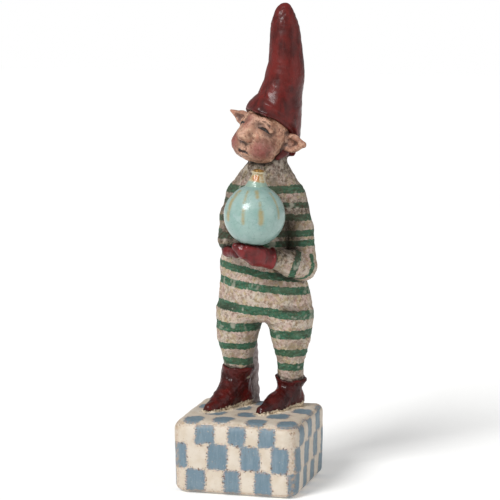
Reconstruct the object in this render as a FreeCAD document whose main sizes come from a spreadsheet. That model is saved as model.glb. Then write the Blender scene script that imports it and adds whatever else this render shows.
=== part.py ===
import FreeCAD, Part
import os

# A standing gnome figurine of painted papier-mache: pulp forms modelled over a wire armature,
# pegged and glued to a checked block. Millimetres, +Z up, the block's front face towards -Y.
# The origin is the centre of the block's felt, on the surface it stands on.

Vector = FreeCAD.Vector
Rotation = FreeCAD.Rotation
Placement = FreeCAD.Placement
UP = Vector(0, 0, 1)

doc = FreeCAD.newDocument("gnome_figurine")
sheet = doc.addObject("Spreadsheet::Sheet", "sizes")

# Single dimensions: alias, value, meaning.
DIMENSIONS = [
    ("block_width", 58.0, "block, left to right"),
    ("block_depth", 54.0, "block, front to back"),
    ("block_bottom", 0.5, "underside of the block, which the felt holds off the table"),
    ("block_top", 33.5, "face that the figure stands on"),
    ("corner_round", 6.5, "upright corners of the block"),
    ("top_round", 4.0, "rim of the block's top"),
    ("foot_round", 2.5, "rim of the block's underside"),
    ("felt_margin", 6.0, "bare rim round the felt"),
    ("felt_recess", 0.7, "how deep the felt is let into the block"),
    ("felt_corner", 3.0, "corners of the felt"),
    ("glue_gap", 0.05, "glue film round every rod, wire, peg and pin"),
    ("rod_radius", 1.25, "steel leg rods and the post's peg"),
    ("rod_foot", 18.0, "lower end of the leg rods, inside the block"),
    ("rod_head", 92.0, "upper end of the leg rods, inside the torso"),
    ("peg_foot", 26.0, "lower end of the post's peg"),
    ("peg_head", 46.0, "upper end of the post's peg"),
    ("dowel_radius", 2.0, "wooden neck dowel"),
    ("arm_wire_radius", 0.7, "annealed wire in the arms"),
    ("hat_wire_radius", 0.8, "annealed wire in the hat"),
    ("pin_radius", 0.6, "pin that holds the ornament on the mitten"),
    ("foot_turn", -25.0, "degrees that both boots turn to the figure's right"),
    ("head_turn", -26.0, "degrees that the head turns to the figure's right"),
    ("head_lift", -10.0, "degrees that the chin is lifted"),
    ("head_lean", 18.0, "degrees that the head leans to the figure's left"),
    ("skull_radius", 12.2, "head without its face"),
    ("jaw_radius", 9.8, "jaw and cheeks"),
    ("nose_radius", 2.3, "nose"),
    ("ball_radius", 13.8, "ornament ball"),
    ("cap_foot_radius", 4.5, "ornament cap where it meets the ball"),
    ("cap_lip_radius", 2.7, "ornament cap at its mouth"),
    ("cap_height", 7.2, "ornament cap, seated in the ball"),
    ("ring_radius", 1.8, "wire ring on the cap, to the middle of its wire"),
    ("ring_wire", 0.65, "radius of the ring's wire"),
    ("hood_thickness", 1.3, "hat's flap over the back of the head"),
    ("cuff_length", 7.0, "straight cuff of each mitten"),
]

# Named places: name, (x, y, z).
PLACES = {
    "right_rod": (-9.0, 14.3, 0.0),
    "left_rod": (16.2, 15.2, 0.0),
    "post_peg": (-5.0, 22.6, 0.0),
    "neck_dowel_foot": (5.6, 13.0, 122.0),
    "neck_dowel_head": (5.6, 13.0, 160.0),
    "hat_wire_foot": (8.2, 12.6, 165.0),
    "hat_wire_head": (13.4, 13.6, 204.0),
    "right_collarbone": (-1.0, 13.5, 129.0),
    "right_shoulder": (-8.0, 13.5, 131.0),
    "right_elbow": (-11.8, 13.0, 112.0),
    "right_wrist": (-9.6, -2.0, 108.5),
    "right_palm": (-4.2, -7.4, 107.4),
    "left_collarbone": (10.0, 13.5, 129.0),
    "left_shoulder": (17.8, 13.5, 131.0),
    "left_elbow": (22.0, 10.5, 103.2),
    "left_wrist": (12.6, -6.0, 106.2),
    "left_palm": (4.2, -11.6, 108.6),
    "left_thumb_root": (5.6, -13.6, 111.0),
    "left_thumb_tip": (0.8, -19.0, 114.2),
    "ball": (5.9, -12.4, 126.0),
    "pin_foot": (5.0, -12.2, 106.0),
    "cap_foot": (7.0, -12.3, 138.6),
    "cap_mouth": (7.8, -12.1, 145.7),
    "head": (6.2, 11.2, 159.8),
}

# Joint radii of the arms and the left thumb.
JOINT_RADII = {
    "right_shoulder": 7.2,
    "right_elbow": 6.4,
    "right_wrist": 4.4,
    "left_shoulder": 7.2,
    "left_elbow": 6.9,
    "left_wrist": 4.3,
    "left_thumb_root": 2.6,
    "left_thumb_tip": 1.9,
}

# Ellipsoids: name, (radius along the piece's own X, Y and Z).
ELLIPSOIDS = {
    "right_hand": (3.2, 4.8, 8.6),
    "left_hand": (4.0, 5.6, 10.6),
}

# Level ellipses that the lofts pass through: name, (x, y, z, half width, half depth).
SECTIONS = {
    "hips": (4.0, 13.5, 76.0, 21.9, 11.6),
    "seat": (4.0, 13.4, 81.0, 22.2, 13.0),
    "belly": (3.6, 13.0, 90.0, 21.2, 13.6),
    "waist": (3.4, 13.0, 98.0, 20.4, 13.2),
    "chest": (4.4, 13.2, 115.0, 17.5, 12.0),
    "shoulders": (4.8, 13.4, 131.0, 15.0, 10.6),
    "neck_root": (5.2, 13.2, 143.0, 9.9, 9.0),
    "neck_top": (5.8, 12.6, 149.5, 9.0, 8.6),
    "right_thigh": (-7.2, 13.5, 76.0, 10.9, 9.8),
    "right_knee": (-9.2, 14.0, 64.0, 9.2, 9.2),
    "right_shin": (-9.2, 14.3, 55.0, 8.0, 8.0),
    "right_ankle": (-9.0, 14.4, 50.0, 7.4, 7.4),
    "left_thigh": (15.2, 13.5, 76.0, 10.9, 9.8),
    "left_knee": (16.4, 13.8, 64.0, 8.9, 8.9),
    "left_shin": (16.2, 14.8, 55.0, 7.1, 7.1),
    "left_ankle": (16.4, 15.3, 47.0, 6.6, 6.6),
    "post_foot": (-5.0, 22.4, 33.5, 4.0, 4.0),
    "post_head": (-5.4, 21.6, 67.0, 3.4, 3.4),
}

# Boot sections in the foot's own frame: name, (forward of the ankle, share of the boot's height,
# half length, half width). The ankle is the origin, and the toe points along the foot's turn.
BOOT_SECTIONS = {
    "boot_sole": (9.0, 0.0, 15.0, 5.8),
    "boot_welt": (8.8, 0.17, 15.0, 6.1),
    "boot_instep": (5.0, 0.45, 10.8, 6.1),
    "boot_ankle": (1.2, 0.75, 7.4, 6.3),
    "boot_mouth": (0.0, 1.0, 6.6, 6.6),
}

# Hat sections: name, (x, y, z, radius, degrees that the section leans to the figure's left).
HAT_SECTIONS = {
    "hat_brim": (8.0, 12.0, 165.5, 14.2, 22.0),
    "hat_crown": (9.4, 13.0, 172.5, 12.9, 20.0),
    "hat_fold": (11.6, 13.6, 180.0, 10.6, 12.0),
    "hat_lower": (13.2, 13.9, 187.5, 9.0, 5.0),
    "hat_middle": (13.9, 13.8, 197.0, 8.0, 0.0),
    "hat_upper": (13.2, 13.4, 207.5, 6.4, 0.0),
    "hat_shoulder": (13.4, 13.2, 215.5, 3.9, 0.0),
    "hat_tip": (13.9, 13.2, 220.0, 1.0, 0.0),
}

# Ear sections in the head's own frame, for the left ear: name, (x, y, z, half height, half thickness).
EAR_SECTIONS = {
    "ear_root": (10.2, 2.6, 0.6, 3.6, 1.7),
    "ear_middle": (15.4, 3.4, 1.4, 3.5, 1.4),
    "ear_tip": (21.0, 4.2, 2.6, 0.5, 0.4),
}

# Features in the head's own frame: name, (x, y, z).
FACE_PLACES = {
    "skull": (0.0, 0.0, 0.0),
    "jaw": (0.0, -2.6, -3.6),
    "nose": (0.0, -12.4, -1.4),
}


def fill_sheet():
    """Writes every driving dimension to a cell of the sheet under its alias."""
    rows = [(alias, value) for alias, value, _ in DIMENSIONS]
    for table, fields in (
        (PLACES, ("x", "y", "z")),
        (FACE_PLACES, ("face_x", "face_y", "face_z")),
        (ELLIPSOIDS, ("radius_x", "radius_y", "radius_z")),
        (SECTIONS, ("x", "y", "z", "wide", "deep")),
        (BOOT_SECTIONS, ("forward", "share", "long", "wide")),
        (HAT_SECTIONS, ("x", "y", "z", "radius", "lean")),
        (EAR_SECTIONS, ("x", "y", "z", "tall", "thick")),
    ):
        for name, values in table.items():
            rows += [(f"{name}_{field}", value) for field, value in zip(fields, values)]
    rows += [(f"{name}_radius", value) for name, value in JOINT_RADII.items()]
    for number, (alias, value) in enumerate(rows, start=1):
        sheet.set(f"A{number}", alias.replace("_", " "))
        sheet.set(f"B{number}", str(value))
        sheet.setAlias(f"B{number}", alias)
    doc.recompute()


fill_sheet()


def size(alias):
    """A cell of the sheet, as a number."""
    return float(sheet.get(alias))


def place(name):
    """A named place of the sheet, as a vector."""
    return Vector(size(f"{name}_x"), size(f"{name}_y"), size(f"{name}_z"))


def bind(item, **expressions):
    """Binds properties to expressions over the sheet; two underscores stand for a dot."""
    for name, expression in expressions.items():
        item.setExpression(name.replace("__", "."), expression)
    return item


def bind_place(item, name, z=None):
    """Binds an object's base point to a named place, at another height if z is given."""
    return bind(
        item,
        Placement__Base__x=f"sizes.{name}_x",
        Placement__Base__y=f"sizes.{name}_y",
        Placement__Base__z=z or f"sizes.{name}_z",
    )


def span(start, end):
    """The expression for the distance between two named places."""
    squares = [f"(sizes.{end}_{axis} - sizes.{start}_{axis})^2" for axis in "xyz"]
    return f"sqrt({' + '.join(squares)})"


def towards(start, end):
    """The rotation that turns +Z along the line between two named places."""
    return Rotation(UP, place(end) - place(start))


# Solids from the Part workbench.


def fuse(label, pieces):
    item = doc.addObject("Part::MultiFuse", label)
    item.Shapes = pieces
    return item


def cut(label, base, *tools):
    """The base less each tool in turn."""
    for number, tool in enumerate(tools, start=1):
        item = doc.addObject("Part::Cut", f"{label}_cut_{number}")
        item.Base = base
        item.Tool = tool
        base = item
    base.Label = label
    return base


def loft(label, sections):
    item = doc.addObject("Part::Loft", label)
    item.Sections = sections
    item.Solid = True
    return item


def level_section(owner, name):
    """An ellipse of the sheet, level, for the loft that owns it."""
    item = doc.addObject("Part::Ellipse", f"{owner}_{name}")
    bind(item, MajorRadius=f"sizes.{name}_wide", MinorRadius=f"sizes.{name}_deep")
    return bind_place(item, name)


def level_loft(label, *names):
    return loft(label, [level_section(label, name) for name in names])


def ellipsoid(label, name):
    item = doc.addObject("Part::Ellipsoid", label)
    item.Angle1 = -90
    return bind(
        item,
        Radius2=f"sizes.{name}_radius_x",
        Radius3=f"sizes.{name}_radius_y",
        Radius1=f"sizes.{name}_radius_z",
    )


def ball_at(label, name, radius):
    item = doc.addObject("Part::Sphere", label)
    return bind_place(bind(item, Radius=radius), name)


def rod_between(label, start, end, radius):
    """A round bar between two named places."""
    item = doc.addObject("Part::Cylinder", label)
    item.Placement = Placement(Vector(), towards(start, end))
    bind(item, Radius=radius, Height=span(start, end))
    return bind_place(item, start)


def upright_rod(label, name, foot, head, radius):
    """A round bar that stands at a named place, from one height of the sheet to another."""
    item = doc.addObject("Part::Cylinder", label)
    bind(item, Radius=radius, Height=f"sizes.{head} - sizes.{foot}")
    return bind_place(item, name, z=f"sizes.{foot}")


def limb_between(label, start, end):
    """A limb that tapers from one joint to the next, with a round end at each."""
    taper = doc.addObject("Part::Cone", f"{label}_taper")
    taper.Placement = Placement(Vector(), towards(start, end))
    bind(
        taper,
        Radius1=f"sizes.{start}_radius",
        Radius2=f"sizes.{end}_radius",
        Height=span(start, end),
    )
    bind_place(taper, start)
    ends = [ball_at(f"{label}_{name}", name, f"sizes.{name}_radius") for name in (start, end)]
    return fuse(label, [taper, *ends])


def bent_wire(label, names, radius):
    """A wire through named places, with a round bend at each."""
    pieces = []
    for start, end in zip(names, names[1:]):
        pieces.append(rod_between(f"{label}_{start}", start, end, radius))
    for name in names[1:-1]:
        pieces.append(ball_at(f"{label}_bend_{name}", name, radius))
    return fuse(label, pieces)


def glued(alias):
    """The expression for the bore that takes a bar of this radius with its glue film."""
    return f"sizes.{alias} + sizes.glue_gap"


# Sketch-based bodies, for the block and its felt.


def origin_plane(body, role):
    return next(feature for feature in body.Origin.OriginFeatures if feature.Role == role)


def flat_sketch(body, label, height):
    """A sketch level with the table, at a height given as an expression."""
    sketch = body.newObject("Sketcher::SketchObject", label)
    sketch.AttachmentSupport = [(origin_plane(body, "XY_Plane"), "")]
    sketch.MapMode = "FlatFace"
    return bind(sketch, AttachmentOffset__Base__z=height)


def centred_rectangle(sketch, width, depth):
    """A rectangle about the sketch's origin, its sides bound to two expressions."""
    import Sketcher

    half = 10.0
    corners = [Vector(x * half, y * half, 0) for x, y in ((-1, -1), (1, -1), (1, 1), (-1, 1))]
    for start, end in zip(corners, corners[1:] + corners[:1]):
        sketch.addGeometry(Part.LineSegment(start, end))
    for side in range(4):
        sketch.addConstraint(Sketcher.Constraint("Coincident", side, 2, (side + 1) % 4, 1))
    for side, direction in enumerate(("Horizontal", "Vertical", "Horizontal", "Vertical")):
        sketch.addConstraint(Sketcher.Constraint(direction, side))
    sketch.addConstraint(Sketcher.Constraint("Symmetric", 0, 1, 1, 2, -1, 1))
    across = sketch.addConstraint(Sketcher.Constraint("DistanceX", 0, 1, 0, 2, 2 * half))
    along = sketch.addConstraint(Sketcher.Constraint("DistanceY", 1, 1, 1, 2, 2 * half))
    sketch.setExpression(f"Constraints[{across}]", width)
    sketch.setExpression(f"Constraints[{along}]", depth)


def circle(sketch, name, radius):
    """A circle at a named place, its radius bound to an expression."""
    import Sketcher

    centre = place(name)
    number = sketch.addGeometry(Part.Circle(Vector(centre.x, centre.y, 0), UP, 1.0))
    for axis, field in (("DistanceX", "x"), ("DistanceY", "y")):
        bound = sketch.addConstraint(
            Sketcher.Constraint(axis, -1, 1, number, 3, getattr(centre, field))
        )
        sketch.setExpression(f"Constraints[{bound}]", f"sizes.{name}_{field}")
    bound = sketch.addConstraint(Sketcher.Constraint("Radius", number, 1.0))
    sketch.setExpression(f"Constraints[{bound}]", radius)


def pad(body, label, sketch, length):
    item = body.newObject("PartDesign::Pad", label)
    item.Profile = sketch
    bind(item, Length=length)
    doc.recompute()
    return item


def pocket(body, label, sketch, length, upwards=False):
    """A pocket that has to take material away; a level sketch cuts downwards unless told otherwise."""
    before = body.Shape.Volume
    item = body.newObject("PartDesign::Pocket", label)
    item.Profile = sketch
    item.Reversed = upwards
    bind(item, Length=length)
    doc.recompute()
    if body.Shape.Volume > before - 1.0:
        raise RuntimeError(f"{label} cuts nothing")
    return item


def round_edges(body, label, chosen, radius):
    """A fillet on the edges of the body's tip that the test picks."""
    base = body.Tip
    names = [
        f"Edge{number}"
        for number, edge in enumerate(base.Shape.Edges, start=1)
        if chosen(edge)
    ]
    item = body.newObject("PartDesign::Fillet", label)
    item.Base = (base, names)
    bind(item, Radius=radius)
    doc.recompute()
    return item


def is_upright(edge):
    ends = [vertex.Point for vertex in edge.Vertexes]
    return len(ends) == 2 and abs(ends[0].z - ends[1].z) > 0.9 * edge.Length


def at_height(height):
    """The test for edges that lie wholly at one height."""
    return lambda edge: edge.BoundBox.ZLength < 0.01 and abs(edge.BoundBox.ZMin - height) < 0.01


# The block, its felt and the armature that stands in it.


def base_block():
    body = doc.addObject("PartDesign::Body", "base_block")
    outline = flat_sketch(body, "block_outline", "sizes.block_bottom")
    centred_rectangle(outline, "sizes.block_width", "sizes.block_depth")
    pad(body, "block_pad", outline, "sizes.block_top - sizes.block_bottom")
    round_edges(body, "block_corners", is_upright, "sizes.corner_round")
    round_edges(body, "block_top_rim", at_height(size("block_top")), "sizes.top_round")
    round_edges(body, "block_foot_rim", at_height(size("block_bottom")), "sizes.foot_round")
    recess = flat_sketch(body, "felt_recess_outline", "sizes.block_bottom")
    felt_rectangle(recess)
    pocket(body, "felt_recess", recess, "sizes.felt_recess", upwards=True)
    leg_bores = flat_sketch(body, "leg_bores", "sizes.block_top")
    for side in ("right", "left"):
        circle(leg_bores, f"{side}_rod", glued("rod_radius"))
    pocket(body, "leg_bore_pocket", leg_bores, "sizes.block_top - sizes.rod_foot")
    peg_bore = flat_sketch(body, "peg_bore", "sizes.block_top")
    circle(peg_bore, "post_peg", glued("rod_radius"))
    pocket(body, "peg_bore_pocket", peg_bore, "sizes.block_top - sizes.peg_foot")
    return body


def felt_rectangle(sketch):
    centred_rectangle(
        sketch,
        "sizes.block_width - 2 * sizes.felt_margin",
        "sizes.block_depth - 2 * sizes.felt_margin",
    )


def base_felt():
    """The felt fills its recess and stands proud of the block by the block's clearance."""
    body = doc.addObject("PartDesign::Body", "base_felt")
    outline = flat_sketch(body, "felt_outline", "0")
    felt_rectangle(outline)
    pad(body, "felt_pad", outline, "sizes.block_bottom + sizes.felt_recess")
    round_edges(body, "felt_corners", is_upright, "sizes.felt_corner")
    return body


def leg_rod(side):
    return upright_rod(f"{side}_leg_rod", f"{side}_rod", "rod_foot", "rod_head", "sizes.rod_radius")


def leg_rod_bore(side, owner):
    label = f"{owner}_{side}_rod_bore"
    return upright_rod(label, f"{side}_rod", "rod_foot", "rod_head", glued("rod_radius"))


def post_peg(label, radius):
    return upright_rod(label, "post_peg", "peg_foot", "peg_head", radius)


# Legs and boots.


def boot_form(side, label):
    """A boot lofted from its sole to its mouth, which is as high as the trouser leg's end."""
    turn = size("foot_turn")
    sections = []
    for name in BOOT_SECTIONS:
        item = doc.addObject("Part::Ellipse", f"{label}_{name}")
        item.Placement = Placement(Vector(), Rotation(UP, turn + 90))
        height = f"(sizes.{side}_ankle_z - sizes.block_top)"
        bind(
            item,
            MajorRadius=f"sizes.{name}_long",
            MinorRadius=f"sizes.{name}_wide",
            Placement__Base__x=f"sizes.{side}_ankle_x + sizes.{name}_forward * sin(sizes.foot_turn * 1 deg)",
            Placement__Base__y=f"sizes.{side}_ankle_y - sizes.{name}_forward * cos(sizes.foot_turn * 1 deg)",
            Placement__Base__z=f"sizes.block_top + sizes.{name}_share * {height}",
        )
        sections.append(item)
    return loft(label, sections)


def boot(side):
    return cut(f"{side}_boot", boot_form(side, f"{side}_boot_form"), leg_rod_bore(side, f"{side}_boot"))


def leg_form(side, label):
    return level_loft(label, f"{side}_ankle", f"{side}_shin", f"{side}_knee", f"{side}_thigh")


def leg(side):
    return cut(f"{side}_leg", leg_form(side, f"{side}_leg_form"), leg_rod_bore(side, f"{side}_leg"))


def support_post():
    """The post stands behind the right leg, and is fitted round its boot and trouser."""
    form = level_loft("post_form", "post_foot", "post_head")
    return cut(
        "rear_support_post",
        form,
        boot_form("right", "post_boot_tool"),
        leg_form("right", "post_leg_tool"),
        post_peg("post_peg_bore", glued("rod_radius")),
    )


# Torso, neck and arms.

TORSO_LEVELS = ("hips", "seat", "belly", "waist", "chest", "shoulders", "neck_root")


def torso_form(label):
    return level_loft(label, *TORSO_LEVELS)


def neck_dowel(label, radius):
    return rod_between(label, "neck_dowel_foot", "neck_dowel_head", radius)


def arm_path(side):
    return [f"{side}_{name}" for name in ("collarbone", "shoulder", "elbow", "wrist", "palm")]


def arm_wire(side, label, radius):
    return bent_wire(label, arm_path(side), radius)


def arm_wire_bore(side, owner):
    return arm_wire(side, f"{owner}_wire_bore", glued("arm_wire_radius"))


def torso():
    """The ornament is pressed into the chest, so the torso gives way to its ball."""
    return cut(
        "torso",
        torso_form("torso_form"),
        leg_rod_bore("right", "torso"),
        leg_rod_bore("left", "torso"),
        neck_dowel("torso_dowel_bore", glued("dowel_radius")),
        arm_wire_bore("right", "torso_right"),
        arm_wire_bore("left", "torso_left"),
        ball_at("torso_ball_tool", "ball", "sizes.ball_radius"),
    )


def neck_collar():
    form = level_loft("collar_form", "neck_root", "neck_top")
    dowel = neck_dowel("collar_dowel_bore", glued("dowel_radius"))
    return cut("neck_collar", form, dowel, head_form("collar_head_tool"))


def upper_arm_form(side, label):
    return limb_between(label, f"{side}_shoulder", f"{side}_elbow")


def forearm_form(side, label):
    return limb_between(label, f"{side}_elbow", f"{side}_wrist")


def upper_arm(side):
    label = f"{side}_upper_arm"
    return cut(
        label,
        upper_arm_form(side, f"{label}_form"),
        torso_form(f"{label}_torso_tool"),
        ball_at(f"{label}_ball_tool", "ball", "sizes.ball_radius"),
        arm_wire_bore(side, label),
    )


def forearm(side):
    label = f"{side}_forearm"
    return cut(
        label,
        forearm_form(side, f"{label}_form"),
        torso_form(f"{label}_torso_tool"),
        upper_arm_form(side, f"{label}_upper_tool"),
        ball_at(f"{label}_ball_tool", "ball", "sizes.ball_radius"),
        arm_wire_bore(side, label),
    )


def hand_form(side, label):
    """A mitten: a cuff that carries on the forearm, and a flattened hand."""
    wrist, palm = f"{side}_wrist", f"{side}_palm"
    turn = towards(wrist, palm)
    cuff = doc.addObject("Part::Cylinder", f"{label}_cuff")
    cuff.Placement = Placement(Vector(), turn)
    bind(cuff, Radius=f"sizes.{wrist}_radius", Height="sizes.cuff_length")
    bind_place(cuff, wrist)
    hand = ellipsoid(f"{label}_hand", f"{side}_hand")
    hand.Placement = Placement(Vector(), turn)
    pieces = [cuff, bind_place(hand, palm)]
    if side == "left":
        pieces.append(limb_between(f"{label}_thumb", "left_thumb_root", "left_thumb_tip"))
    return fuse(label, pieces)


def mitten(side):
    label = f"{side}_mitten"
    tools = [
        torso_form(f"{label}_torso_tool"),
        forearm_form(side, f"{label}_forearm_tool"),
        ball_at(f"{label}_ball_tool", "ball", "sizes.ball_radius"),
        arm_wire_bore(side, label),
    ]
    if side == "left":
        tools.append(ornament_pin(f"{label}_pin_bore", glued("pin_radius")))
    else:
        tools.append(hand_form("left", f"{label}_left_hand_tool"))
    return cut(label, hand_form(side, f"{label}_form"), *tools)


# The ornament.


def ornament_pin(label, radius):
    """The pin goes from the palm to the middle of the ball."""
    item = doc.addObject("Part::Cylinder", label)
    bind(item, Radius=radius, Height="sizes.ball_z - sizes.pin_foot_z")
    return bind_place(item, "pin_foot")


def cap_form(label):
    item = doc.addObject("Part::Cone", label)
    item.Placement = Placement(Vector(), towards("cap_foot", "cap_mouth"))
    bind(
        item,
        Radius1="sizes.cap_foot_radius",
        Radius2="sizes.cap_lip_radius",
        Height="sizes.cap_height",
    )
    return bind_place(item, "cap_foot")


def ornament_ball():
    return cut(
        "ornament_ball",
        ball_at("ball_form", "ball", "sizes.ball_radius"),
        cap_form("ball_cap_seat"),
        ornament_pin("ball_pin_bore", glued("pin_radius")),
    )


def ornament_ring():
    """The wire ring lies on the cap's mouth."""
    item = doc.addObject("Part::Torus", "ornament_ring")
    turn = towards("cap_foot", "cap_mouth")
    seat = place("cap_foot") + turn.multVec(UP) * (size("cap_height") + size("ring_wire"))
    item.Placement = Placement(seat, turn)
    return bind(item, Radius1="sizes.ring_radius", Radius2="sizes.ring_wire")


# Head, ears and hat.


def head_placement():
    """Turn about Z, then lift the chin about X, then lean about the line of sight."""
    turn = Rotation(UP, size("head_turn"))
    lift = Rotation(Vector(1, 0, 0), size("head_lift"))
    lean = Rotation(Vector(0, 1, 0), size("head_lean"))
    return Placement(place("head"), turn * lift * lean)


def face_ball(label, name):
    """A ball placed in the head's own frame."""
    item = doc.addObject("Part::Sphere", label)
    return bind(
        item,
        Radius=f"sizes.{name}_radius",
        Placement__Base__x=f"sizes.{name}_face_x",
        Placement__Base__y=f"sizes.{name}_face_y",
        Placement__Base__z=f"sizes.{name}_face_z",
    )


def head_form(label):
    item = fuse(label, [face_ball(f"{label}_{name}", name) for name in FACE_PLACES])
    item.Placement = head_placement()
    return item


def hat_wire(label, radius):
    return rod_between(label, "hat_wire_foot", "hat_wire_head", radius)


def head():
    return cut(
        "head",
        head_form("head_shape"),
        neck_dowel("head_dowel_bore", glued("dowel_radius")),
        hat_wire("head_wire_bore", glued("hat_wire_radius")),
    )


def ear_form(side, label):
    """A flat, pointed ear, lofted outwards from the side of the head."""
    mirror = -1 if side == "right" else 1
    pose = head_placement()
    sections = []
    for name in EAR_SECTIONS:
        item = doc.addObject("Part::Ellipse", f"{label}_{name}")
        bind(item, MajorRadius=f"sizes.{name}_tall", MinorRadius=f"sizes.{name}_thick")
        centre = Vector(mirror * size(f"{name}_x"), size(f"{name}_y"), size(f"{name}_z"))
        item.Placement = pose * Placement(centre, Rotation(Vector(0, 1, 0), 90))
        sections.append(item)
    return loft(label, sections)


def ear(side):
    label = f"{side}_ear"
    return cut(label, ear_form(side, f"{label}_form"), head_form(f"{label}_head_tool"))


def hat_cone(label):
    sections = []
    for name in HAT_SECTIONS:
        item = doc.addObject("Part::Ellipse", f"{label}_{name}")
        item.Placement = Placement(Vector(), Rotation(Vector(0, 1, 0), size(f"{name}_lean")))
        bind(item, MajorRadius=f"sizes.{name}_radius", MinorRadius=f"sizes.{name}_radius")
        sections.append(bind_place(item, name))
    return loft(label, sections)


def hood(label):
    """The flap of the hat that covers the back of the head, down to the nape."""
    shell = doc.addObject("Part::Sphere", f"{label}_shell")
    bind(shell, Radius="sizes.skull_radius + sizes.hood_thickness")
    keep = doc.addObject("Part::Box", f"{label}_keep")
    reach = "2 * sizes.skull_radius + 10"
    bind(
        keep,
        Length=reach,
        Width=reach,
        Height=reach,
        Placement__Base__x=f"-({reach}) / 2",
        Placement__Base__y="sizes.ear_root_y + sizes.ear_root_thick + 2",
        Placement__Base__z=f"-({reach}) / 2",
    )
    item = doc.addObject("Part::Common", label)
    item.Base = shell
    item.Tool = keep
    item.Placement = head_placement()
    return item


def hat():
    shape = fuse("hat_shape", [hat_cone("hat_cone"), hood("hat_hood")])
    return cut(
        "hat",
        shape,
        head_form("hat_head_tool"),
        ear_form("right", "hat_right_ear_tool"),
        ear_form("left", "hat_left_ear_tool"),
        level_loft("hat_collar_tool", "neck_root", "neck_top"),
        hat_wire("hat_wire_bore", glued("hat_wire_radius")),
    )


def build_parts():
    """Every sub-part of the figurine, in order from the table up."""
    parts = [
        base_block(),
        base_felt(),
        support_post(),
        post_peg("rear_post_peg", "sizes.rod_radius"),
    ]
    for side in ("right", "left"):
        parts += [
            leg_rod(side),
            boot(side),
            leg(side),
            upper_arm(side),
            forearm(side),
            mitten(side),
            arm_wire(side, f"{side}_arm_wire", "sizes.arm_wire_radius"),
            ear(side),
        ]
    parts += [
        torso(),
        neck_dowel("neck_dowel", "sizes.dowel_radius"),
        neck_collar(),
        head(),
        hat(),
        hat_wire("hat_wire", "sizes.hat_wire_radius"),
        ornament_ball(),
        cap_form("ornament_cap"),
        ornament_ring(),
        ornament_pin("ornament_pin", "sizes.pin_radius"),
    ]
    return parts


def check(parts):
    """Stops on any failed object, and on any sub-part that is not one valid solid."""
    for item in doc.Objects:
        if "Invalid" in item.State or "Error" in item.State:
            raise RuntimeError(f"{item.Name} failed: {item.State}")
    for item in parts:
        shape = item.Shape
        if shape.isNull() or not shape.isValid():
            raise RuntimeError(f"{item.Label} has no valid shape")
        if len(shape.Solids) != 1:
            volumes = [round(solid.Volume, 2) for solid in shape.Solids]
            raise RuntimeError(f"{item.Label} has {len(shape.Solids)} solids: {volumes}")


parts = build_parts()
doc.recompute()
check(parts)
os.makedirs("parts", exist_ok=True)
for item in parts:
    item.Shape.exportStep(f"parts/{item.Label}.step")
    print(f"{item.Label:20s} {item.Shape.Volume / 1000:8.2f} cm3")
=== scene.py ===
import math

import bpy
import numpy as np
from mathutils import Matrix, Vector


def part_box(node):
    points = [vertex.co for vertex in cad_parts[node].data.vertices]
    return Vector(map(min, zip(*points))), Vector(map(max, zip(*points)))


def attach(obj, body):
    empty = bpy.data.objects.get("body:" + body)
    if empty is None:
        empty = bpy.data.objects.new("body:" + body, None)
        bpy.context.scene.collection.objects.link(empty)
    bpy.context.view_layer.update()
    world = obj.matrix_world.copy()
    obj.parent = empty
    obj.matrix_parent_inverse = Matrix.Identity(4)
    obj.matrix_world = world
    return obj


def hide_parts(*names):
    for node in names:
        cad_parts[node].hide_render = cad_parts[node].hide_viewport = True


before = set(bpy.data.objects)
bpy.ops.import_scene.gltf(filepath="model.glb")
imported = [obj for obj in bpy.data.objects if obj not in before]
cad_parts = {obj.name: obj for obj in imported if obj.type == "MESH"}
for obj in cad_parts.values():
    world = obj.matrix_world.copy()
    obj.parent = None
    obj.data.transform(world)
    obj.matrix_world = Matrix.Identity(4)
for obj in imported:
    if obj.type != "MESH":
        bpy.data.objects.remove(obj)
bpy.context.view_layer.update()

# The visible pieces are sculpted as distance fields in millimetres, in the CAD's frame, and turned
# into meshes here. Paint edges are kept on the vertices as distances in millimetres, so that the
# materials can draw them with a brush's wobble.

MM = 0.001


def box_mm(*nodes):
    """Lowest and highest corner of some CAD nodes together, in millimetres."""
    boxes = [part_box(node) for node in nodes]
    low = np.min([b[0] for b in boxes], axis=0) / MM
    high = np.max([b[1] for b in boxes], axis=0) / MM
    return low, high


# Distance fields. Each takes points as rows and returns one distance per point.


def length(v):
    return np.sqrt(np.einsum("ij,ij->i", v, v))


def cone(p, a, b, ra, rb):
    """A ball of radius ra at a, one of rb at b, and the taper between them."""
    a, b = np.asarray(a, np.float32), np.asarray(b, np.float32)
    axis = b - a
    t = np.clip((p - a) @ axis / (axis @ axis), 0, 1)
    return length(p - a - t[:, None] * axis) - (ra + (rb - ra) * t)


def chain(p, knots, k=1.0):
    """Cones from knot to knot; each knot is x, y, z, radius."""
    d = None
    for a, b in zip(knots, knots[1:]):
        e = cone(p, a[:3], b[:3], a[3], b[3])
        d = e if d is None else melt(d, e, k)
    return d


def egg(p, centre, radii):
    radii = np.asarray(radii, np.float32)
    q = p - np.asarray(centre, np.float32)
    k0 = length(q / radii)
    k1 = length(q / radii**2)
    return k0 * (k0 - 1) / np.maximum(k1, 1e-6)


def melt(a, b, k):
    """Union of two fields, with a fillet of about k."""
    h = np.clip(0.5 + 0.5 * (b - a) / k, 0, 1)
    return b + (a - b) * h - k * h * (1 - h)


def carve(a, b, k):
    """Field a less field b, with an edge rounded by about k."""
    return -melt(-a, b, k)


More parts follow.
